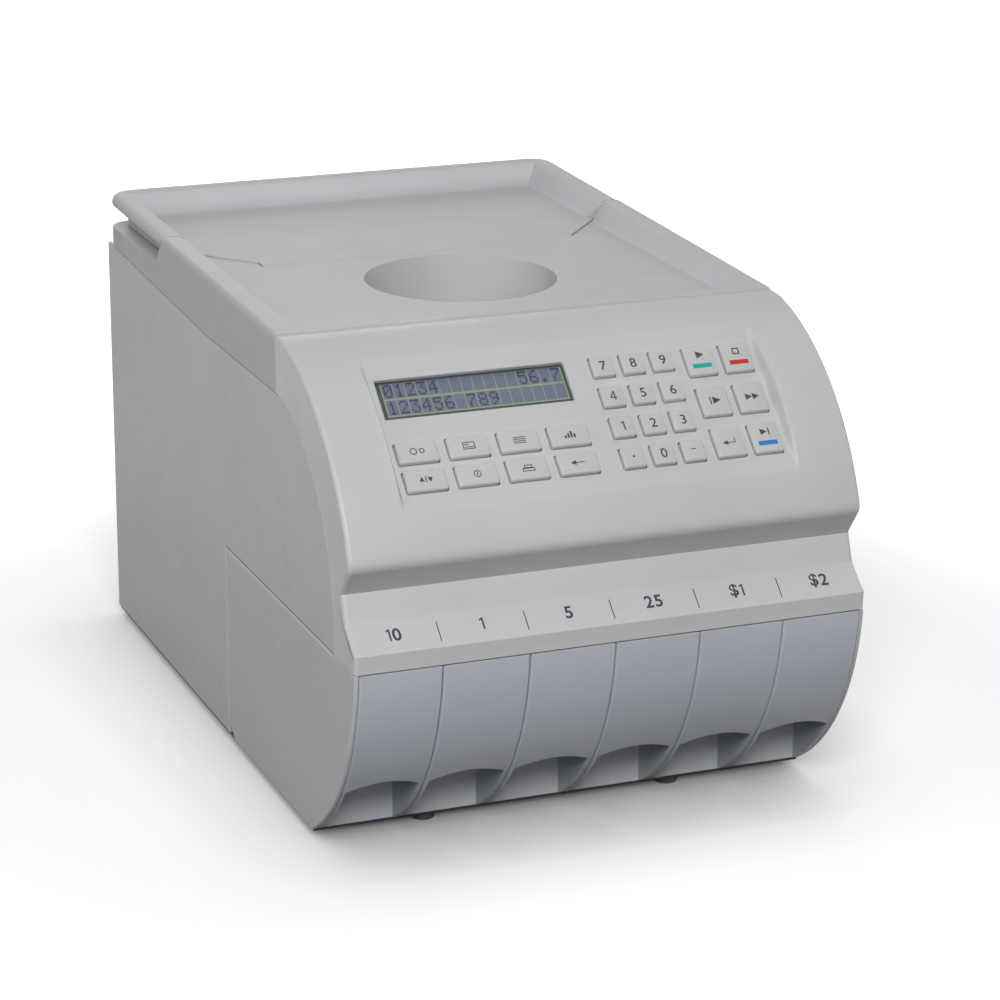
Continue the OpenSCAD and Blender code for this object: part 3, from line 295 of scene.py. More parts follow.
# %% Shader groups
def new_group(name, inputs, outputs):
    group = bpy.data.node_groups.new(name, "ShaderNodeTree")
    for label, kind, value in inputs:
        socket = group.interface.new_socket(label, in_out="INPUT", socket_type=kind)
        if value is not None:
            socket.default_value = value
    for label, kind in outputs:
        group.interface.new_socket(label, in_out="OUTPUT", socket_type=kind)
    return group, group.nodes.new("NodeGroupInput"), group.nodes.new("NodeGroupOutput")


FLOAT, COLOUR = "NodeSocketFloat", "NodeSocketColor"
SPECK_COLOUR = (0.30, 0.30, 0.31, 1)
STREAK_PULL = 14.0


def noise(tree, coords, scale, detail, roughness=0.5):
    """Values of about 0.3 to 0.7 that change smoothly from place to place."""
    made = put(add(tree, "ShaderNodeTexNoise"), Detail=detail, Roughness=roughness)
    feed(tree, scale, made.inputs["Scale"])
    feed(tree, coords, made.inputs["Vector"])
    return made.outputs["Fac"]


def spread(tree, value, low, high, to_low=0.0, to_high=1.0):
    """The value stretched from one range to another, and held inside it."""
    made = put(add(tree, "ShaderNodeMapRange"), From_Min=low, From_Max=high, To_Min=to_low, To_Max=to_high)
    feed(tree, value, made.inputs["Value"])
    return made.outputs["Result"]


def blend_colour(tree, factor, a, b):
    made = add(tree, "ShaderNodeMix", data_type="RGBA")
    for slot, value in ((0, factor), (6, a), (7, b)):
        feed(tree, value, made.inputs[slot])
    return made.outputs[2]


def object_place(tree):
    return add(tree, "ShaderNodeTexCoord").outputs["Object"]


def make_mould_group():
    """Moulded plastic: grain, slow tone drift, fine specks and a handling polish."""
    group, given, out = new_group("moulded_plastic", [
        ("Colour", COLOUR, None), ("Drift", COLOUR, None), ("Grain size", FLOAT, 2600.0),
        ("Roughness", FLOAT, 0.45), ("Polish", FLOAT, 0.08)],
        [("Colour", COLOUR), ("Roughness", FLOAT), ("Height", FLOAT)])
    place = object_place(group)
    slow = spread(group, noise(group, place, scale=14.0, detail=3.0), 0.35, 0.65)
    toned = blend_colour(group, slow, given.outputs["Colour"], given.outputs["Drift"])
    fine = noise(group, place, scale=900.0, detail=2.0, roughness=0.7)
    specks = spread(group, fine, 0.62, 0.78, 0.0, 0.05)
    feed(group, blend_colour(group, specks, toned, SPECK_COLOUR), out.inputs["Colour"])
    rubbed = spread(group, noise(group, place, scale=32.0, detail=4.0, roughness=0.6), 0.4, 0.7)
    polish = maths(group, "MULTIPLY", rubbed, given.outputs["Polish"])
    feed(group, maths(group, "SUBTRACT", given.outputs["Roughness"], polish), out.inputs["Roughness"])
    grain = add(group, "ShaderNodeTexVoronoi", feature="F1")
    feed(group, place, grain.inputs["Vector"])
    feed(group, given.outputs["Grain size"], grain.inputs["Scale"])
    feed(group, grain.outputs["Distance"], out.inputs["Height"])
    return group


def make_wear_group():
    """Edge wear: lighter where the surface is convex, broken up by noise."""
    group, given, out = new_group("edge_wear", [
        ("Colour", COLOUR, None), ("Worn colour", COLOUR, None), ("Amount", FLOAT, 0.5)],
        [("Colour", COLOUR)])
    convex = spread(group, add(group, "ShaderNodeNewGeometry").outputs["Pointiness"], 0.505, 0.56)
    patches = noise(group, object_place(group), scale=120.0, detail=4.0, roughness=0.65)
    broken = maths(group, "MULTIPLY", convex, spread(group, patches, 0.38, 0.62, 0.35, 1.0))
    worn = maths(group, "MULTIPLY", broken, given.outputs["Amount"])
    feed(group, blend_colour(group, worn, given.outputs["Colour"], given.outputs["Worn colour"]),
         out.inputs["Colour"])
    return group


def make_metal_group():
    """Worked metal: streaks along one axis, with broad patches over them."""
    group, given, out = new_group("worked_metal", [
        ("Colour", COLOUR, None), ("Dull colour", COLOUR, None), ("Roughness", FLOAT, 0.35),
        ("Streak", FLOAT, 40.0)], [("Colour", COLOUR), ("Roughness", FLOAT), ("Height", FLOAT)])
    place = object_place(group)
    pull = add(group, "ShaderNodeMapping")
    pull.inputs["Scale"].default_value = (1.0, STREAK_PULL, STREAK_PULL)
    feed(group, place, pull.inputs["Vector"])
    streaks = noise(group, pull.outputs["Vector"], given.outputs["Streak"], detail=5.0, roughness=0.6)
    patches = noise(group, place, scale=22.0, detail=3.0)
    tone = maths(group, "MULTIPLY", spread(group, streaks, 0.3, 0.7),
                 spread(group, patches, 0.3, 0.7, 0.5, 1.0))
    feed(group, blend_colour(group, tone, given.outputs["Dull colour"], given.outputs["Colour"]),
         out.inputs["Colour"])
    uneven = spread(group, patches, 0.3, 0.7, -0.06, 0.08)
    feed(group, maths(group, "ADD", given.outputs["Roughness"], uneven), out.inputs["Roughness"])
    feed(group, streaks, out.inputs["Height"])
    return group


mould_group, wear_group, metal_group = make_mould_group(), make_wear_group(), make_metal_group()
print("shader groups:", [g.name for g in bpy.data.node_groups if g.type == "SHADER"])

# %% [markdown]
# ## Materials
# One short function makes each family. Numbers that are the same all over a
# surface, such as specular level, sit on the shader's own sockets. What varies
# comes in from the groups.

# %% Materials
DRIFT, DULL = 0.955, 0.8
WORN_GAIN, WORN_LIFT = 1.25, 0.03
GRAIN_HEIGHT, STREAK_HEIGHT, STREAK_DEPTH = 0.0002, 0.0001, 0.08


def bump(tree, height, shader, strength, distance):
    made = put(add(tree, "ShaderNodeBump"), Strength=strength, Distance=distance)
    feed(tree, height, made.inputs["Height"])
    feed(tree, made.outputs["Normal"], shader.inputs["Normal"])


def start_material(name):
    material = bpy.data.materials.new(name)
    tree = node_tree(material)
    shader = add(tree, "ShaderNodeBsdfPrincipled")
    feed(tree, shader.outputs["BSDF"], add(tree, "ShaderNodeOutputMaterial").inputs["Surface"])
    return material, tree, shader


def plastic(name, colour, roughness=0.45, grain=2600.0, depth=0.10, wear=0.0, specular=0.4, polish=0.08):
    """Moulded plastic, with its own grain size and depth."""
    material, tree, shader = start_material(name)
    effect = put(add(tree, "ShaderNodeGroup", node_tree=mould_group), Colour=(*colour, 1),
                 Drift=(*(c * DRIFT for c in colour), 1), Grain_size=grain, Roughness=roughness,
                 Polish=polish)
    surface = effect.outputs["Colour"]
    if wear:
        worn = put(add(tree, "ShaderNodeGroup", node_tree=wear_group), Amount=wear,
                   Worn_colour=(*(min(1.0, c * WORN_GAIN + WORN_LIFT) for c in colour), 1))
        feed(tree, surface, worn.inputs["Colour"])
        surface = worn.outputs["Colour"]
    feed(tree, surface, shader.inputs["Base Color"])
    feed(tree, effect.outputs["Roughness"], shader.inputs["Roughness"])
    bump(tree, effect.outputs["Height"], shader, depth, GRAIN_HEIGHT)
    put(shader, Specular_IOR_Level=specular)
    return material


def metal(name, colour, roughness, streak=40.0):
    """Sheet, turned or plated metal."""
    material, tree, shader = start_material(name)
    effect = put(add(tree, "ShaderNodeGroup", node_tree=metal_group), Colour=(*colour, 1),
                 Dull_colour=(*(c * DULL for c in colour), 1), Roughness=roughness, Streak=streak)
    feed(tree, effect.outputs["Colour"], shader.inputs["Base Color"])
    feed(tree, effect.outputs["Roughness"], shader.inputs["Roughness"])
    bump(tree, effect.outputs["Height"], shader, STREAK_DEPTH, STREAK_HEIGHT)
    put(shader, Metallic=1.0)
    return material


case_plastic = plastic("case_plastic", (0.60, 0.60, 0.612), roughness=0.42, wear=0.25, polish=0.05)
side_plastic = plastic("side_plastic", (0.585, 0.58, 0.60), roughness=0.5, wear=0.2, polish=0.03)
tray_plastic = plastic("tray_plastic", (0.60, 0.605, 0.615), roughness=0.6, polish=0.04)
drawer_plastic = plastic("drawer_plastic", (0.565, 0.59, 0.645), roughness=0.38, polish=0.03)
# Painted light: a lighter copy of the drawer plastic for the finger walls, so that they look lit from low in
# front.
finger_wall_painted_light = plastic("finger_wall_painted_light", (0.80, 0.82, 0.87), roughness=0.4)
key_plastic = plastic("key_plastic", (0.60, 0.60, 0.605), roughness=0.38, grain=3600.0, polish=0.16)
ink, teal_ink, red_ink, blue_ink = (plastic(*values, grain=4000.0, depth=0.05) for values in (
    ("printed_ink", (0.045, 0.055, 0.06), 0.5), ("teal_ink", (0.01, 0.40, 0.34), 0.45),
    ("red_ink", (0.55, 0.03, 0.02), 0.45), ("blue_ink", (0.03, 0.20, 0.58), 0.45)))
belt_rubber, foot_rubber, pad_rubber = (plastic(*values, specular=0.2) for values in (
    ("belt_rubber", (0.02, 0.02, 0.021), 0.75, 1500.0, 0.2),
    ("foot_rubber", (0.16, 0.155, 0.155), 0.8, 1300.0, 0.3),
    ("pad_rubber", (0.10, 0.085, 0.07), 0.85, 1100.0, 0.35)))
black_plastic = plastic("black_plastic", (0.03, 0.031, 0.033), roughness=0.4, grain=2200.0, wear=0.1)
dark_plastic = plastic("dark_plastic", (0.06, 0.062, 0.066), roughness=0.5, grain=2200.0)
powder_coat = plastic("powder_coat", (0.50, 0.50, 0.515), roughness=0.5, grain=1500.0, depth=0.25)
base_coat = plastic("base_coat", (0.045, 0.045, 0.05), roughness=0.55, grain=1400.0, depth=0.25)
board_green = plastic("board_green", (0.012, 0.10, 0.045), roughness=0.35, grain=700.0, depth=0.05)
steel = metal("plated_steel", (0.62, 0.63, 0.65), roughness=0.34)
bright_steel = metal("bright_steel", (0.74, 0.75, 0.77), roughness=0.22, streak=90.0)
cast_metal = metal("cast_metal", (0.52, 0.53, 0.54), roughness=0.48, streak=15.0)
FINISHES = (
    (case_plastic, "front_fascia"), (tray_plastic, "hopper_tray rear_pan"),
    (side_plastic, "left_side_panel right_side_panel drawer_housing"),
    (powder_coat, "rear_panel"), (base_coat, "base_plate"),
    (steel, "mechanism_plate power_supply case_screws"),
    (bright_steel, "pan_hinge_pins sorting_head sorting_disc"),
    (cast_metal, "spindle_pulley spindle_bearings motor_pulley"),
    (board_green, "display_module keypad_board control_board"),
    (black_plastic, "display_window rear_connectors power_switch"),
    (dark_plastic, "drive_motor coin_chutes"), (foot_rubber, "rubber_feet"),
    (pad_rubber, "disc_pad"), (belt_rubber, "drive_belt"),
)
node_finish = {name: finish for finish, names in FINISHES for name in names.split()}
for name, node in nodes.items():
    node.data.materials.clear()
    finish = node_finish.get(name, drawer_plastic if name.startswith("coin_drawer") else key_plastic)
    node.data.materials.append(finish)
print("materials:", len(bpy.data.materials))

# %% [markdown]
# ## Rounding a profile
# Mouldings have no sharp corners. A profile is a list of (y, z) points, and a
# corner in it is rounded by cutting back the same length on both sides and
# joining the ends with a short curve. Cutting back along the path, and not
# along a line, lets a corner sit where an arc meets a straight.

# %% Profile helpers
DRUM_R, DRUM_Y, DRUM_Z = 133.5, 66.5, 116.0
CORNER_STEPS = 6


def along(path, length):
    """The point at a length along a path of points, and the index after it."""
    for i in range(1, len(path)):
        step = (path[i] - path[i - 1]).length
        if length <= step:
            return path[i - 1].lerp(path[i], length / max(step, 1e-9)), i
        length -= step
    return path[-1], len(path)


def rounded(path, corners):
    """Rounds the corners of an open path, given as {index: length to cut back}."""
    path = [Vector(p) for p in path]
    made, start = [], 0
    for index in sorted(corners):
        cut, apex = corners[index], path[index]
        before, skip_back = along([apex] + path[start:index][::-1], cut)
        after, skip_on = along(path[index:], cut)
        made += path[start:index - skip_back + 1]
        for k in range(CORNER_STEPS + 1):
            t = k / CORNER_STEPS
            made.append(before * (1 - t) ** 2 + apex * 2 * t * (1 - t) + after * t * t)
        start = index + skip_on
    return made + path[start:]


def outward(path):
    """Unit normals of an open path, on its right."""
    normals = []
    for i in range(len(path)):
        a, b = path[max(i - 1, 0)], path[min(i + 1, len(path) - 1)]
        d = (b - a).normalized()
        normals.append(Vector((d.y, -d.x)))
    return normals


def even(start, stop, steps):
    return [start + (stop - start) * k / steps for k in range(steps + 1)]


def drum_at(angle):
    """A point of the round front, at degrees above its axis."""
    a = math.radians(angle)
    return Vector((DRUM_Y - DRUM_R * math.cos(a), DRUM_Z + DRUM_R * math.sin(a)))


def drum_angle(z):
    return math.degrees(math.asin((z - DRUM_Z) / DRUM_R))


def arc(first, last, steps):
    return [drum_at(angle) for angle in even(first, last, steps)]


# %% [markdown]
# ## Front fascia
# The round front, the flat control panel let into it, the shadow recess and the
# label face are one moulding. Its skin is a sweep of one rounded profile, from
# side to side. Near each side the profile shrinks along its own normals, which
# rounds the long edge. Where the control panel lies, the round front is pressed
# down to the panel's plane, and the press fades out over a couple of
# millimetres, which leaves the lens-shaped step at each end of the panel.

# %% Fascia profile
TRAY_Y, HOOD_TOP, HOOD_LOW, LOWER_Z = 50.0, 247.0, 158.0, 106.7
RECESS_IN, LABEL_TOP = Vector((-48.0, 142.0)), Vector((-53.0, 128.4))
LABEL_LOW = drum_at(0)
PANEL_TILT, PANEL_LEN, PANEL_HALF_W = 42.0, 86.0, 105.5
panel_half_angle = math.degrees(math.asin(PANEL_LEN / 2 / DRUM_R))
panel_top_angle = 90 - PANEL_TILT + panel_half_angle
panel_low_angle = 90 - PANEL_TILT - panel_half_angle
PANEL_TOP = drum_at(panel_top_angle)
tilt = math.radians(PANEL_TILT)
PANEL_NORMAL = Vector((-math.sin(tilt), math.cos(tilt)))
PRESS_ABOVE, PRESS_FADE, END_ROUND, WALL = 175.0, 1.3, 2.4, 2.5
TOP_ROUND, LIP_ROUND, RECESS_ROUND, LABEL_ROUND = 5.0, 4.2, 1.2, 2.6

hood = [Vector((TRAY_Y, HOOD_TOP))]
hood += arc(drum_angle(HOOD_TOP), panel_top_angle, 6)
hood += arc(panel_top_angle, panel_low_angle, 30)[1:]
hood += arc(panel_low_angle, drum_angle(HOOD_LOW), 9)[1:]
lip = len(hood) - 1
hood += [RECESS_IN, LABEL_TOP, LABEL_LOW]
hood += arc(0, drum_angle(LOWER_Z), 3)[1:]
profile = rounded(hood, {1: TOP_ROUND, lip: LIP_ROUND, lip + 1: RECESS_ROUND,
                         lip + 2: LABEL_ROUND, lip + 3: LABEL_ROUND})
normals = outward(profile)


def pressed(p, x):
    """Moves a point of the round front down to the control panel's plane."""
    above = (p - PANEL_TOP).dot(PANEL_NORMAL)
    t = min(1.0, max(0.0, (PANEL_HALF_W + PRESS_FADE - abs(x)) / (2 * PRESS_FADE)))
    share = t * t * (3 - 2 * t)
    return p - PANEL_NORMAL * max(above, 0.0) * share if p.y > PRESS_ABOVE else p


# columns run from side to side, as (x, how far the profile shrinks there)
columns = [(HALF_W - END_ROUND + END_ROUND * math.sin(a), END_ROUND * (1 - math.cos(a)))
           for a in even(math.pi / 2, 0, 7)]
stops = (HALF_W - END_ROUND, PANEL_HALF_W + PRESS_FADE, PANEL_HALF_W - PRESS_FADE, 0)
for first, last, steps in zip(stops, stops[1:], (4, 8, 12)):
    columns += [(x, 0) for x in even(first, last, steps)[1:]]
columns = [(-x, inset) for x, inset in columns[:-1]] + columns[::-1]
SEAM_AT, SEAM_R, SEAM_TOP, SEAM_STEPS = Vector((62.5, 119.3)), 99.6, 217.2, 40
seam_low, seam_high = (math.asin((z - SEAM_AT.y) / SEAM_R) for z in (LOWER_Z, SEAM_TOP))
seam_curve = [Vector((SEAM_AT.x - SEAM_R * math.cos(a), SEAM_AT.y + SEAM_R * math.sin(a)))
              for a in even(seam_low, seam_high, SEAM_STEPS)]
seam_curve.append(Vector((TRAY_Y, SEAM_TOP)))


def skin(columns, depth, x_limit, points):
    """Adds one skin of the fascia, depth inside its outline, and gives its rows of point numbers."""
    made = []
    for x, inset in columns:
        column = []
        for p, n in zip(profile, normals):
            q = pressed(p, x)
            lean = (n + PANEL_NORMAL * min(1.0, (p - q).length)).normalized() if q != p else n
            q = q - lean * (depth + (inset if depth == 0 else 0))
            column.append(len(points))
            points.append((max(-x_limit, min(x_limit, x)), q.x, q.y))
        made.append(column)
    return made


def strip(a, b):
    """Faces between two rows of point numbers."""
    return [(a[i], a[i + 1], b[i + 1], b[i]) for i in range(len(a) - 1)]


def fascia_shell(name):
    """The outer and the inner skin, their ends on the seam with the side panels, and the rims between."""
    points, faces, rims = [], [], []
    for depth, x_limit in ((0, HALF_W), (WALL, HALF_W - WALL)):
        made = skin(columns, depth, x_limit, points)
        for a, b in zip(made, made[1:]):
            faces += strip(a, b)
        ends = []
        for side, column in ((-1, made[0]), (1, made[-1])):
            first = len(points)
            points += [(side * x_limit, p.x, p.y) for p in seam_curve]
            seam = list(range(first, len(points)))
            faces.append(tuple(column + seam))
            ends.append([column[-1]] + seam + [column[0]])
        rims.append((ends, [column[0] for column in made], [column[-1] for column in made]))
    (outer_ends, outer_top, outer_low), (inner_ends, inner_top, inner_low) = rims
    for a, b in zip(outer_ends + [outer_top, outer_low], inner_ends + [inner_top, inner_low]):
        faces += strip(a, b)
    return mesh_piece(name, points, faces, case_plastic, turn_out=True)


fascia = fascia_shell("fascia_moulding")
print("fascia skin:", len(fascia.data.polygons), "faces,", len(profile), "profile points")

# %% [markdown]
# The window and the keys need openings, and a boolean with one joined cutter
# makes them all at once. Each cutter flares at the panel's plane, so
# every opening gets the small chamfer that a moulding tool leaves.

# %% Wall, window and key openings
WINDOW_W, WINDOW_H = 101.0, 23.0
MARGIN, HEAD = 4.5, 10.5
FKEY_W, FKEY_H, FKEY_DX, FKEY_ROW_GAP = 21.0, 12.0, 26.8, 4.3
NKEY_W, NKEY_DX, NKEY_DY = 11.8, 16.4, 18.05
CKEY_W, CKEY_H, CKEY_DX, BLOCK_GAP = 15.6, 17.0, 20.5, 6.7
KEY_GAP, KEY_CORNER, KEY_H, WINDOW_CORNER = 0.5, 1.2, 2.2, 0.6
RING_STEPS = 5

left = -PANEL_HALF_W + MARGIN
row_low = HEAD + 3 * NKEY_DY + NKEY_W
ckey_dy = (row_low - HEAD - CKEY_H) / 2
ckey_x = -left - CKEY_W / 2 - CKEY_DX
nkey_x = ckey_x - CKEY_W / 2 - BLOCK_GAP - NKEY_W / 2 - 2 * NKEY_DX
NUMBER_KEYS = ("7", "8", "9", "4", "5", "6", "1", "2", "3", "point", "0", "dash")
keys = {}
for i in range(8):
    v = row_low - FKEY_H / 2 - (1 - i // 4) * (FKEY_H + FKEY_ROW_GAP)
    keys[f"function_key_{i + 1}"] = (left + FKEY_W / 2 + i % 4 * FKEY_DX, v, FKEY_W, FKEY_H)
for i, label in enumerate(NUMBER_KEYS):
    keys[f"key_{label}"] = (nkey_x + i % 3 * NKEY_DX, HEAD + NKEY_W / 2 + i // 3 * NKEY_DY, NKEY_W, NKEY_W)
for i in range(6):
    v = HEAD + CKEY_H / 2 + i // 2 * ckey_dy
    keys[f"control_key_{i + 1}"] = (ckey_x + i % 2 * CKEY_DX, v, CKEY_W, CKEY_H)
WINDOW = (left + WINDOW_W / 2, HEAD + WINDOW_H / 2)


def sloped(start, down):
    """The places of a sloped face: x across, v down from its start and n outwards."""
    return lambda x, v, n: (x, start.x + v * down.x + n * down.y, start.y + v * down.y - n * down.x)


def about(place, x, v, n=0.0):
    """The places about a point of such a face, with the second measure up the slope."""
    return lambda du, dv, dn: place(x + du, v - dv, n + dn)


on_panel = sloped(PANEL_TOP, Vector((-math.cos(tilt), -math.sin(tilt))))


def ring(w, h, r):
    """A rectangle with round corners, as points that always start at the same place."""
    points = []
    for k, (sx, sy) in enumerate(((1, 1), (-1, 1), (-1, -1), (1, -1))):
        for step in range(RING_STEPS + 1):
            a = math.pi / 2 * (k + step / RING_STEPS)
            points.append((sx * (w / 2 - r) + r * math.cos(a), sy * (h / 2 - r) + r * math.sin(a)))
    return points


def stack(rings, place):
    """Joins rings of equal length, each (points, height), into a closed form."""
    points = [place(u, v, n) for outline, n in rings for u, v in outline]
    count = len(rings[0][0])
    rows = [list(range(k * count, (k + 1) * count)) for k in range(len(rings))]
    faces = [face for a, b in zip(rows, rows[1:]) for face in strip(a + a[:1], b + b[:1])]
    return points, faces + [tuple(rows[0][::-1]), tuple(rows[-1])]


def merged(parts):
    """One list of points and faces from several."""
    points, faces = [], []
    for p, f in parts:
        faces += [tuple(i + len(points) for i in face) for face in f]
        points += p
    return points, faces


CHAMFER, CUT_BELOW, FASCIA_SHARP = 0.35, 4.0, 30


def opening(x, v, w, h, r):
    """A straight hole through the panel with a small chamfer, whose flare stops just above it."""
    return stack([(ring(w, h, r), -CUT_BELOW), (ring(w, h, r), -CHAMFER),
                  (ring(w + 3 * CHAMFER, h + 3 * CHAMFER, r + CHAMFER), CHAMFER / 2)],
                 about(on_panel, x, v))


holes = [opening(x, v, w + 2 * KEY_GAP, h + 2 * KEY_GAP, KEY_CORNER) for x, v, w, h in keys.values()]
holes.append(opening(*WINDOW, WINDOW_W, WINDOW_H, WINDOW_CORNER))
cutter = mesh_piece("panel_cutter", *merged(holes))
change = fascia.modifiers.new("cut", "BOOLEAN")
change.operation, change.solver, change.object = "DIFFERENCE", "EXACT", cutter
finished(fascia)
bpy.data.objects.remove(cutter)
even_light(crisp(fascia, FASCIA_SHARP))
print("fascia:", len(fascia.data.polygons), "faces with", len(holes), "openings")

# %% [markdown]
# ## Printed marks
# Digits come from Blender's own typeface, turned into a flat mesh. The function
# keys carry plain pictures made from bars, rings and arrows, so nothing on the
# machine is a word. A mark is a thin plate of ink that stands a hair above the
# surface it is printed on.

# %% Digits and pictures
INK_T = 0.04
FONT_DIGIT_H, SIGN_GAP, HOOP_STEPS = 0.70, 0.13, 24


def digits(text, bold):
    """Centred outlines of digits 1 high, as (points, faces) in the plane."""
    curve = bpy.data.curves.new("digits", "FONT")
    curve.body, curve.size, curve.align_x, curve.align_y = text, 1.0, "CENTER", "CENTER"
    curve.resolution_u, curve.offset = 4, bold
    holder = bpy.data.objects.new("digits", curve)
    scene.collection.objects.link(holder)
    bpy.context.view_layer.update()
    mesh = bpy.data.meshes.new_from_object(holder.evaluated_get(bpy.context.evaluated_depsgraph_get()))
    xs, ys = [v.co.x for v in mesh.vertices], [v.co.y for v in mesh.vertices]
    scale = 1.0 / FONT_DIGIT_H
    mid_x, mid_y = (min(xs) + max(xs)) / 2, (min(ys) + max(ys)) / 2
    points = [((v.co.x - mid_x) * scale, (v.co.y - mid_y) * scale) for v in mesh.vertices]
    faces = [tuple(f.vertices) for f in mesh.polygons]
    bpy.data.objects.remove(holder)
    bpy.data.meshes.remove(mesh)
    bpy.data.curves.remove(curve)
    return points, faces


def polygon(points):
    """A flat mark of one face."""
    return points, [tuple(range(len(points)))]


ONE = polygon([(0.01, -0.5), (0.15, -0.5), (0.15, 0.5), (0.04, 0.5), (-0.16, 0.37), (-0.16, 0.23),
               (0.01, 0.34)])
FOUR = ([(0.06, -0.5), (0.20, -0.5), (0.20, -0.28), (0.06, -0.28), (0.34, -0.28), (0.34, -0.155),
         (0.20, -0.155), (0.06, -0.155), (0.20, 0.5), (0.06, 0.5), (0.06, 0.29), (-0.34, -0.28),
         (-0.19, -0.155), (-0.34, -0.155)],
        [(0, 1, 2, 3), (3, 2, 6, 7), (2, 4, 5, 6), (7, 6, 8, 9, 10), (11, 3, 7, 12, 13), (13, 12, 10, 9)])
OWN_FIGURES = {"1": ONE, "4": FOUR}


def figures_mark(text, height, bold):
    """A row of figures with even gaps. Its own 1 has a flag and its own 4 stays open, to read well small."""
    parts, x = [], 0.0
    for sign in text:
        shape, faces = OWN_FIGURES.get(sign) or digits(sign, bold)
        low, high = min(p[0] for p in shape), max(p[0] for p in shape)
        parts.append(([(p[0] - low + x, p[1]) for p in shape], faces))
        x += high - low + SIGN_GAP
    points, faces = merged(parts)
    half = (x - SIGN_GAP) / 2
    return [((px - half) * height, py * height) for px, py in points], faces


def bar(x, y, w, h):
    return polygon(rectangle(w, h, x, y))


def hoop(x, y, r, t):
    """A ring of outer radius r and thickness t."""
    points = [(x + length * math.cos(a), y + length * math.sin(a))
              for length in (r, r - t) for a in even(0, 2 * math.pi, HOOP_STEPS)]
    numbers = list(range(len(points)))
    return points, strip(numbers[:HOOP_STEPS + 1], numbers[HOOP_STEPS + 1:])


def frame_box(x, y, w, h, t):
    """An empty rectangle with lines of thickness t."""
    return merged([bar(x, y + (h - t) / 2, w, t), bar(x, y - (h - t) / 2, w, t),
                   bar(x - (w - t) / 2, y, t, h - 2 * t), bar(x + (w - t) / 2, y, t, h - 2 * t)])


def arrow(x, y, size, facing):
    """A solid triangle that points along the facing angle."""
    a = math.radians(facing)
    corners = [(size * 0.6, 0), (-size * 0.4, size * 0.5), (-size * 0.4, -size * 0.5)]
    return polygon([(x + u * math.cos(a) - v * math.sin(a), y + u * math.sin(a) + v * math.cos(a))
                    for u, v in corners])


STROKE, THICK = 0.5, 0.7
PICTURES = {
    "function_key_1": merged([hoop(-2.2, 0, 1.9, STROKE), hoop(2.2, 0, 1.4, STROKE)]),
    "function_key_2": merged([frame_box(0, 0, 6.4, 4.2, STROKE), bar(-1.2, 0.6, 2.4, STROKE),
                              bar(0, -0.8, 4.6, STROKE)]),
    "function_key_3": merged([bar(0, y, 6.6, STROKE) for y in (-1.6, -0.53, 0.53, 1.6)]),
    "function_key_4": merged([bar(x, h / 2 - 1.9, 1.1, h)
                              for x, h in ((-2.4, 1.6), (-0.8, 2.6), (0.8, 3.8), (2.4, 2.2))]),
    "function_key_5": merged([arrow(-2.2, 0, 2.8, 90), arrow(2.2, 0, 2.8, -90), bar(0, 0, STROKE, 3.6)]),
    "function_key_6": merged([hoop(0, 0, 2.0, STROKE), bar(0, 0, STROKE, 2.2)]),
    "function_key_7": merged([frame_box(0, 0.9, 4.4, 1.9, STROKE), frame_box(0, -0.9, 6.6, 2.0, STROKE)]),
    "function_key_8": merged([arrow(-2.6, 0, 3.0, 180), bar(0.8, 0, 4.6, STROKE)]),
    "control_key_1": arrow(0, 3.2, 4.4, 0),
    "control_key_2": frame_box(0, 3.2, 3.8, 3.8, THICK),
    "control_key_3": merged([bar(-2.4, 0, THICK, 4.4), arrow(0.6, 0, 4.4, 0)]),
    "control_key_4": merged([arrow(-1.9, 0, 3.8, 0), arrow(1.9, 0, 3.8, 0)]),
    "control_key_5": merged([arrow(-2.2, -0.9, 3.0, 180), bar(0.9, -0.9, 4.4, STROKE),
                             bar(3.0, 0.5, STROKE, 3.2)]),
    "control_key_6": merged([arrow(-0.9, 3.2, 3.8, 0), bar(2.2, 3.2, THICK, 4.0)]),
}
BARS = {"control_key_1": teal_ink, "control_key_2": red_ink, "control_key_6": blue_ink}
print("pictures:", len(PICTURES))

# %% [markdown]
# ## Keys
# A key is a cap with a flange under the panel and a stem that presses a rubber
# dome. The cap is a stack of rounded rectangles that shrink towards the top,
# so it gets the broad soft chamfer that catches the light. Each key is its own
# piece on its own body, because each one can be pressed.

# %% Key caps
KEY_ROOT, FLANGE_T, FLANGE = -4.2, 1.4, 1.2
STEM_R, STEM_LOW = 1.5, -7.5
KEY_EDGE = ((0.0, 1.35), (0.12, 1.75), (0.42, 2.05), (0.85, KEY_H))
EDGE_SHRINK, EDGE_CORNER = 0.6, 0.5
DIGIT_SIZE = {"height": 5.3, "bold": 0.01}
SIGNS = {"point": hoop(0, 0, 0.62, 0.62), "dash": bar(0, 0.4, 2.6, 0.5)}
STRIPE = bar(0, -3.4, 10.4, 2.6)
INK_LEVEL = KEY_H - INK_T / 2
SMALL_SHARP = 40


def plate_of_ink(mark, place, level):
    """A flat mark as a closed thin plate."""
    flat, faces = mark
    count = len(flat)
    points = [place(u, v, level) for u, v in flat] + [place(u, v, level + INK_T) for u, v in flat]
    edges = [(a, b) for f in faces for a, b in zip(f, f[1:] + f[:1])]
    inside = set(edges)
    sides = [(a, b, b + count, a + count) for a, b in edges if (b, a) not in inside]
    return points, [f[::-1] for f in faces] + [tuple(i + count for i in f) for f in faces] + sides


def key_mark(name):
    label = name[len("key_"):]
    if name in PICTURES:
        return PICTURES[name]
    return SIGNS.get(label) or figures_mark(label, **DIGIT_SIZE)


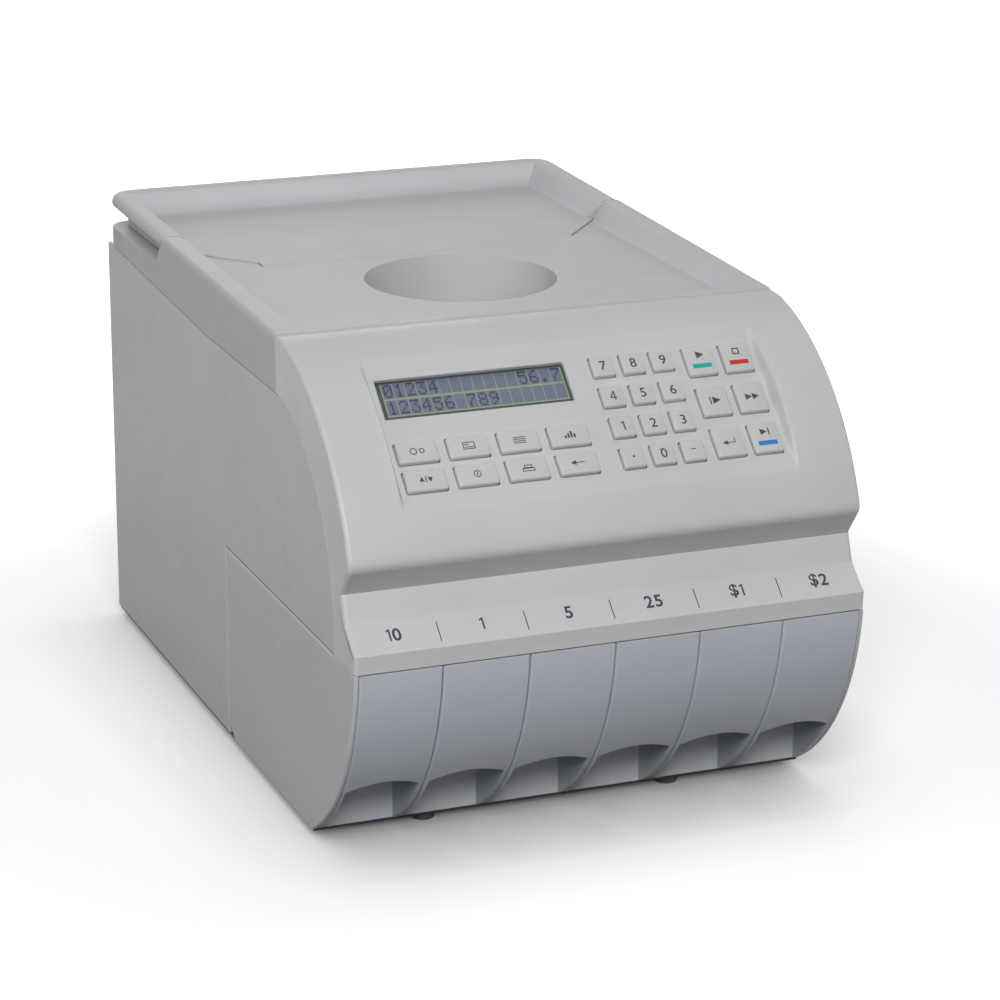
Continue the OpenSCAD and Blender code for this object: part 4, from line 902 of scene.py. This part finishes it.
def key_piece(name, x, v, w, h):
    """A cap with its flange, stem and prints, on the body that its key presses."""
    place = about(on_panel, x, v)
    wide = ring(w + 2 * FLANGE, h + 2 * FLANGE, KEY_CORNER)
    stem = [(STEM_R * math.cos(a), STEM_R * math.sin(a)) for a in
            (math.pi / 2 * (k + s / RING_STEPS) for k in range(4) for s in range(RING_STEPS + 1))]
    rings = [(stem, STEM_LOW), (stem, KEY_ROOT), (wide, KEY_ROOT), (wide, KEY_ROOT + FLANGE_T),
             (ring(w, h, KEY_CORNER), KEY_ROOT + FLANGE_T)]
    rings += [(ring(w - 2 * inset, h - 2 * inset, max(KEY_CORNER - inset * EDGE_SHRINK, EDGE_CORNER)), n)
              for inset, n in KEY_EDGE]
    parts = [stack(rings, place), plate_of_ink(key_mark(name), place, INK_LEVEL)]
    materials = [key_plastic, ink]
    if name in BARS:
        parts.append(plate_of_ink(STRIPE, place, INK_LEVEL))
        materials.append(BARS[name])
    points, faces = merged(parts)
    mesh = bpy.data.meshes.new(name + "_cap")
    mesh.from_pydata([at(*p) for p in points], [], faces)
    piece = link(name + "_cap", mesh, *materials)
    slots = [slot for slot, part in enumerate(parts) for _ in part[1]]
    mesh.polygons.foreach_set("material_index", slots)
    mesh.validate()
    crisp(piece, SMALL_SHARP)
    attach(piece, name)
    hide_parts(name)
    return piece


caps = [key_piece(name, *spot) for name, spot in keys.items()]
print("keys:", len(caps), "caps,", sum(len(c.data.polygons) for c in caps), "faces")

# %% [markdown]
# ## Display
# Under the window lies the glass of a two line display. A Geometry Nodes tree
# places one cell over and over on a grid, and its inputs are named so that a
# longer display needs only other numbers. The figures are dots, as on a real
# character display, and they are plain numbers.

# %% Display glass and figures
LCD_N, LCD_W, LCD_H = -4.66, 97.0, 20.6
LCD_AT = (1.6, -2.3)
CELLS, CELL_W, CELL_H, CELL_DX, CELL_DY = 16, 5.5, 8.7, 5.98, 9.9
DOT, DOT_STEP, DOT_TALL = 0.88, 0.92, 1.18
MASK_OVER, MASK_T = 2.0, 0.5
GLASS_TOP, CELL_TOP, DOT_TOP = 0.2, 0.26, 0.30
PANE_OVER, PANE_T, MOTTLE = 3.0, 1.2, 0.9
DOTS = {
    "0": "01110 10001 10011 10101 11001 10001 01110", "1": "00100 01100 00100 00100 00100 00100 01110",
    "2": "01110 10001 00001 00010 00100 01000 11111", "3": "11111 00010 00100 00010 00001 10001 01110",
    "4": "00010 00110 01010 10010 11111 00010 00010", "5": "11111 10000 11110 00001 00001 10001 01110",
    "6": "00110 01000 10000 11110 10001 10001 01110", "7": "11111 00001 00010 00100 01000 01000 01000",
    "8": "01110 10001 10001 01110 10001 10001 01110", "9": "01110 10001 10001 01111 00001 00010 01100",
    ".": "00000 00000 00000 00000 00000 01100 01100",
}
LINES = ("01234       56.7", "123456 789")
GRID_INPUTS = {"Geometry": "Geometry", "Columns": "Int", "Rows": "Int", "Step across": "Float",
               "Step down": "Float", "Material": "Material"}


def lit_material(name, colour, glow):
    """Plain colour with a little light of its own, as the glass is lit from behind."""
    made, tree, shader = start_material(name)
    shade = noise(tree, object_place(tree), scale=90.0, detail=2.0)
    mottle = blend_colour(tree, shade, (*(c * MOTTLE for c in colour), 1), (*colour, 1))
    feed(tree, mottle, shader.inputs["Base Color"])
    feed(tree, mottle, shader.inputs["Emission Color"])
    put(shader, Roughness=0.35, Emission_Strength=glow)
    return made


def grid_of_copies():
    """A Geometry Nodes tree: copies of the piece it sits on, in columns and rows."""
    tree = bpy.data.node_groups.new("grid_of_copies", "GeometryNodeTree")
    for label, kind in GRID_INPUTS.items():
        tree.interface.new_socket(label, in_out="INPUT", socket_type="NodeSocket" + kind)
    tree.interface.new_socket("Geometry", in_out="OUTPUT", socket_type="NodeSocketGeometry")
    given, out = add(tree, "NodeGroupInput"), add(tree, "NodeGroupOutput")
    points, scatter = add(tree, "GeometryNodeMeshGrid"), add(tree, "GeometryNodeInstanceOnPoints")
    real, paint = add(tree, "GeometryNodeRealizeInstances"), add(tree, "GeometryNodeSetMaterial")
    for count, step, verts, size in (("Columns", "Step across", "Vertices X", "Size X"),
                                     ("Rows", "Step down", "Vertices Y", "Size Y")):
        feed(tree, given.outputs[count], points.inputs[verts])
        spans = maths(tree, "SUBTRACT", given.outputs[count], 1)
        feed(tree, maths(tree, "MULTIPLY", spans, given.outputs[step]), points.inputs[size])
    for source, label, target, socket in (
            (points, "Mesh", scatter, "Points"), (given, "Geometry", scatter, "Instance"),
            (scatter, "Instances", real, "Geometry"), (real, "Geometry", paint, "Geometry"),
            (given, "Material", paint, "Material"), (paint, "Geometry", out, "Geometry")):
        feed(tree, source.outputs[label], target.inputs[socket])
    return tree


copies_tree = grid_of_copies()


def copies(name, unit, columns, rows, across, down, material, place):
    """Runs the tree on a unit given in millimetres, then puts every point in its place."""
    mesh = bpy.data.meshes.new(name)
    mesh.from_pydata(unit[0], [], unit[1])
    piece = link(name, mesh)
    run = piece.modifiers.new("copies", "NODES")
    run.node_group = copies_tree
    values = dict(zip(list(GRID_INPUTS)[1:], (columns, rows, across, down, material)))
    for item in copies_tree.interface.items_tree:
        if item.in_out == "INPUT" and item.name in values:
            run[item.identifier] = values[item.name]
    finished(piece)
    for vertex in piece.data.vertices:
        vertex.co = at(*place(*vertex.co))
    return piece


def slab(w, h, low, high, x=0.0, y=0.0):
    """A closed plate with its middle at x and y."""
    outline = rectangle(w, h, x, y)
    return stack([(outline, low), (outline, high)], lambda *point: point)


def frame_slab(outer, inner, low, high):
    """A flat frame, the ring between two rectangles of (width, height) about one middle."""
    points = [(*p, z) for z in (low, high) for size in (outer, inner) for p in rectangle(*size)]
    faces = []
    for k in range(4):
        n = (k + 1) % 4
        faces += [(k, 4 + k, 4 + n, n), (8 + k, 8 + n, 12 + n, 12 + k),
                  (k, n, 8 + n, 8 + k), (4 + k, 12 + k, 12 + n, 4 + n)]
    return points, faces


def flat_piece(name, shape, place, material):
    """A flat-shaded piece from a shape given where it lies on the window or the display."""
    return mesh_piece(name, [place(*p) for p in shape[0]], shape[1], material, smooth=False)


def dot_slabs():
    """The lit dots of both lines, each a small slab on its cell. A sign is 5 dots wide and 7 high."""
    for row, text in enumerate(LINES):
        for column, sign in enumerate(text):
            for spot, bit in enumerate(DOTS.get(sign, "").replace(" ", "")):
                if bit == "1":
                    x = (column - (CELLS - 1) / 2) * CELL_DX + (spot % 5 - 2) * DOT_STEP
                    y = (0.5 - row) * CELL_DY + (3 - spot // 5) * DOT_STEP * DOT_TALL
                    yield slab(DOT, DOT * DOT_TALL, CELL_TOP, DOT_TOP, x, y)


on_window = about(on_panel, *WINDOW)
on_lcd = about(on_panel, WINDOW[0] + LCD_AT[0], WINDOW[1] + LCD_AT[1], LCD_N)
lcd_ground = lit_material("lcd_ground", (0.30, 0.37, 0.19), 0.05)
lcd_cell = lit_material("lcd_cell", (0.125, 0.15, 0.235), 0.05)
lcd_dot = plastic("lcd_dot", (0.022, 0.005, 0.055), roughness=0.4, depth=0.02)
bezel_paint = plastic("bezel_paint", (0.028, 0.036, 0.034), roughness=0.35, depth=0.03)
mask = frame_slab((WINDOW_W + 2 * MASK_OVER, WINDOW_H + 2 * MASK_OVER), (LCD_W, LCD_H), 0, MASK_T)
dots = list(dot_slabs())
display = [
    flat_piece("display_mask", mask, on_lcd, bezel_paint),
    flat_piece("display_glass", slab(LCD_W, LCD_H, 0, GLASS_TOP), on_lcd, lcd_ground),
    copies("display_cells", slab(CELL_W, CELL_H, GLASS_TOP, CELL_TOP), CELLS, 2, CELL_DX, CELL_DY,
           lcd_cell, on_lcd),
    flat_piece("display_figures", merged(dots), on_lcd, lcd_dot),
]
for piece in display:
    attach(piece, "chassis")

window_glass, tree, shader = start_material("window_glass")
haze = noise(tree, object_place(tree), scale=60.0, detail=3.0)
feed(tree, spread(tree, haze, 0.3, 0.7, 0.04, 0.09), shader.inputs["Roughness"])
put(shader, Base_Color=(0.55, 0.58, 0.60, 1), Alpha=0.05, Specular_IOR_Level=0.5)
pane = slab(WINDOW_W + 2 * PANE_OVER, WINDOW_H + 2 * PANE_OVER, -WALL - PANE_T, -WALL)
pane = flat_piece("display_pane", pane, on_window, window_glass)
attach(pane, "chassis")
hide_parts("display_window")
print("display:", len(dots), "dots on", CELLS * 2, "cells")

# %% [markdown]
# ## Drawer labels
# The sloped strip above the drawers tells what each one holds, with plain
# numbers and a short line between neighbours. The name that a maker would put
# under the keys is left off.

# %% Label strip
LABELS = ("10", "1", "5", "25", "$1", "$2")
BAY = 45.83
DIGIT_H, DIGIT_BOLD, DIGIT_V = 6.6, 0.022, 8.6
TICK_V, TICK_LEN, TICK_W = 10.0, 11.0, 0.55

on_label = sloped(LABEL_TOP, (LABEL_LOW - LABEL_TOP).normalized())
prints = []
for i, text in enumerate(LABELS):
    centre = (i - (len(LABELS) - 1) / 2) * BAY
    prints.append(plate_of_ink(figures_mark(text, DIGIT_H, DIGIT_BOLD),
                               about(on_label, centre, DIGIT_V), -INK_T / 2))
label_numbers = mesh_piece("label_numbers", *merged(prints), ink, smooth=False)
ticks = copies("label_ticks", slab(TICK_W, TICK_LEN, -INK_T / 2, INK_T / 2), len(LABELS) - 1, 1, BAY, 1,
               ink, about(on_label, 0, TICK_V))
for piece in (label_numbers, ticks):
    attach(piece, "chassis")
print("label strip:", ", ".join(LABELS))

# %% [markdown]
# ## Softened parts
# The construction has true edges of zero radius. A moulding or a folded sheet
# never has, and the thin bright line along an edge is most of what makes it
# look real. Each of these pieces starts from the construction's own mesh, has
# its loose triangles merged and its flat faces joined, and gets a bevel whose
# width is chosen edge by edge from where the edge lies.

# %% Softening
BEVEL_UNIT, NODE_MERGE, FLAT_ANGLE, EDGE_ANGLE = 10.0, 0.001, 0.5, 28.0


def soften(node, width, segments=3, body="chassis", prepare=None):
    """A bevelled stand-in for a node. Its width is in millimetres, or a function of an edge's middle and
    whether the edge is convex."""
    source = nodes[node]
    bm = bmesh.new()
    bm.from_mesh(source.data)
    bm.transform(source.matrix_world)
    bmesh.ops.remove_doubles(bm, verts=bm.verts, dist=NODE_MERGE * MM)
    bmesh.ops.dissolve_limit(bm, angle_limit=math.radians(FLAT_ANGLE), verts=bm.verts, edges=bm.edges)
    if prepare:
        prepare(bm)
    weight = bm.edges.layers.float.new("bevel_weight_edge")
    for edge in bm.edges:
        if len(edge.link_faces) == 2 and edge.calc_face_angle() > math.radians(EDGE_ANGLE):
            mid = drawn((edge.verts[0].co + edge.verts[1].co) / 2)
            edge[weight] = (width(mid, edge.is_convex) if callable(width) else width) / BEVEL_UNIT
    mesh = bpy.data.meshes.new(node + "_soft")
    bm.to_mesh(mesh)
    bm.free()
    piece = link(node + "_soft", mesh, source.data.materials[0])
    change = piece.modifiers.new("soft", "BEVEL")
    change.width, change.limit_method, change.segments = BEVEL_UNIT * MM, "WEIGHT", segments
    change.use_clamp_overlap, change.miter_outer = False, "MITER_SHARP"
    finished(piece)
    even_light(crisp(piece, SMALL_SHARP))
    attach(piece, body)
    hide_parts(node)
    return piece


RIM_FRONT, RIM_BACK, BODY_D, RIM_CORNER = 248.0, 255.0, 366.0, 14.0
DISH_FLOOR, PAN_FLOOR = 241.5, 242.3
NOTCH, END_LIP, LIP = (246.0, 257.0), 1.6, 7.0
FLOOR_X, PAN_SEAM_Y = 119.0, 254.34
FLOOR_FRONT, FLOOR_BACK, FLOOR_SIDE = 80.0, 335.0, 110.0
RIM_OUTER, RIM_INNER, RIM_UNDER, FLOOR_END_ROUND, FLOOR_SIDE_ROUND = 4.2, 2.4, 2.0, 6.0, 2.0
NEAR_RIM, NEAR_FLOOR, NEAR_FACE = 0.7, 0.5, 0.5
ON_RIM, BELOW_RIM, SAME_SPOT = 0.05, 0.5, 0.1
END_FACE, OUTER_SKIN, INNER_START, BOTTOM = 1.0, 1.0, 5.0, 1.0
TOUCHED, UNTOUCHED = 1.2, 0.25


def rim_height(y):
    return RIM_FRONT + (RIM_BACK - RIM_FRONT) * (y - TRAY_Y) / (BODY_D - TRAY_Y)


def tray_edges(mid, convex):
    """Wide along the rim and the floor, and nothing on the end faces that they run into."""
    if mid.y < TRAY_Y + END_FACE or NOTCH[0] < mid.y < NOTCH[1]:
        return 0.0
    at_rim = abs(mid.z - rim_height(mid.y)) < NEAR_RIM
    past_corner = (max(abs(mid.x) - HALF_W + RIM_CORNER, 0), max(mid.y - BODY_D + RIM_CORNER, 0))
    outside = math.hypot(*past_corner) > RIM_CORNER - OUTER_SKIN
    if at_rim and outside:
        return RIM_OUTER
    if at_rim and mid.y > TRAY_Y + INNER_START:
        return RIM_INNER
    if outside and abs(mid.z - rim_height(mid.y) + LIP) < NEAR_RIM:
        return RIM_UNDER
    near_floor = min(abs(mid.z - DISH_FLOOR), abs(mid.z - PAN_FLOOR)) < NEAR_FLOOR
    if near_floor and not convex and not FLOOR_FRONT <= mid.y <= FLOOR_BACK:
        return FLOOR_END_ROUND
    if near_floor and not convex and abs(mid.x) > FLOOR_SIDE:
        return FLOOR_SIDE_ROUND
    return UNTOUCHED


def even_ends(bm):
    """Readies a tray for its wide edges: no low lip at the rim's ends, no notch in its floor face."""
    near = [(v, drawn(v.co)) for v in bm.verts if NOTCH[0] < drawn(v.co).y < NOTCH[1]]
    tops = [(v, p) for v, p in near if abs(p.z - rim_height(p.y)) < ON_RIM]
    lows = [(v, p) for v, p in near if BELOW_RIM < rim_height(p.y) - p.z < END_LIP]
    bmesh.ops.weld_verts(bm, targetmap={v: min(tops, key=lambda t: (t[1] - p).length)[0] for v, p in lows})
    bm.verts.ensure_lookup_table()
    spots = [Vector((x, PAN_SEAM_Y, PAN_FLOOR)) for x in (-FLOOR_X, FLOOR_X)]
    corners = [v for v in bm.verts if min((drawn(v.co) - spot).length for spot in spots) < SAME_SPOT]
    if len(corners) == 2:
        bmesh.ops.connect_verts(bm, verts=corners)


def drawer_edges(node):
    """The left edge of a front is round, and the right one is nearly square."""
    left_x = drawn(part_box(node)[0]).x

    def width(mid, convex):
        on_front = math.hypot(mid.y - DRUM_Y, mid.z - DRUM_Z) > DRUM_R - NEAR_FACE and mid.y < 0
        return DRAWER_ROUND if on_front and abs(mid.x - left_x) < NEAR_FACE else UNTOUCHED
    return width


def panel_edges(mid, convex):
    """Side panels: the edges that can be touched are round, the hidden lip isn't."""
    return TOUCHED if abs(mid.x) > HALF_W - NEAR_FACE and convex else UNTOUCHED


def housing_edges(mid, convex):
    return TOUCHED if abs(mid.x) > HALF_W - NEAR_FACE and convex and mid.z > BOTTOM else HOUSING_FINE


DRAWER_ROUND, HOUSING_FINE, SWITCH_ROUND = 1.6, 0.2, 0.8
FINGER_WALL_Y, FINGER_TOP, FACES_FRONT = 1.0, 46.0, -0.8
softened = [soften("hopper_tray", tray_edges, 4, prepare=even_ends),
            soften("rear_pan", tray_edges, 4, "rear_pan", even_ends)]
drawers = [soften(name, drawer_edges(name), 3, name) for name in (f"coin_drawer_{i}" for i in range(1, 7))]
# The finger walls at the foot of each drawer front take the lighter copy: painted light on walls that the
# arch above shades.
for drawer in drawers:
    drawer.data.materials.append(finger_wall_painted_light)
    for face in drawer.data.polygons:
        centre = drawn(face.center)
        if face.normal.y < FACES_FRONT and abs(centre.y) < FINGER_WALL_Y and centre.z < FINGER_TOP:
            face.material_index = 1
softened += drawers
softened += [soften("left_side_panel", panel_edges), soften("right_side_panel", panel_edges),
             soften("drawer_housing", housing_edges)]
SMALL_EDGES = {
    "base_plate": 0.3, "rear_panel": 0.3, "mechanism_plate": 0.4, "sorting_head": 0.4, "sorting_disc": 0.6,
    "disc_pad": 0.5, "drive_motor": 0.3, "coin_chutes": 0.3, "power_supply": 0.4, "rear_connectors": 0.3,
    "spindle_bearings": 0.4, "control_board": 0.15, "spindle_pulley": 0.3, "motor_pulley": 0.3,
}
TURNING = {"sorting_disc": "sorting_rotor", "disc_pad": "sorting_rotor", "spindle_pulley": "sorting_rotor",
           "motor_pulley": "motor_rotor"}
softened += [soften(node, width, 2, TURNING.get(node, "chassis")) for node, width in SMALL_EDGES.items()]
softened.append(soften("power_switch", SWITCH_ROUND, 3, "power_switch"))
print("softened:", ", ".join(f"{p.name} {len(p.data.polygons)}" for p in softened))

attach(fascia, "chassis")
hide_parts("front_fascia")
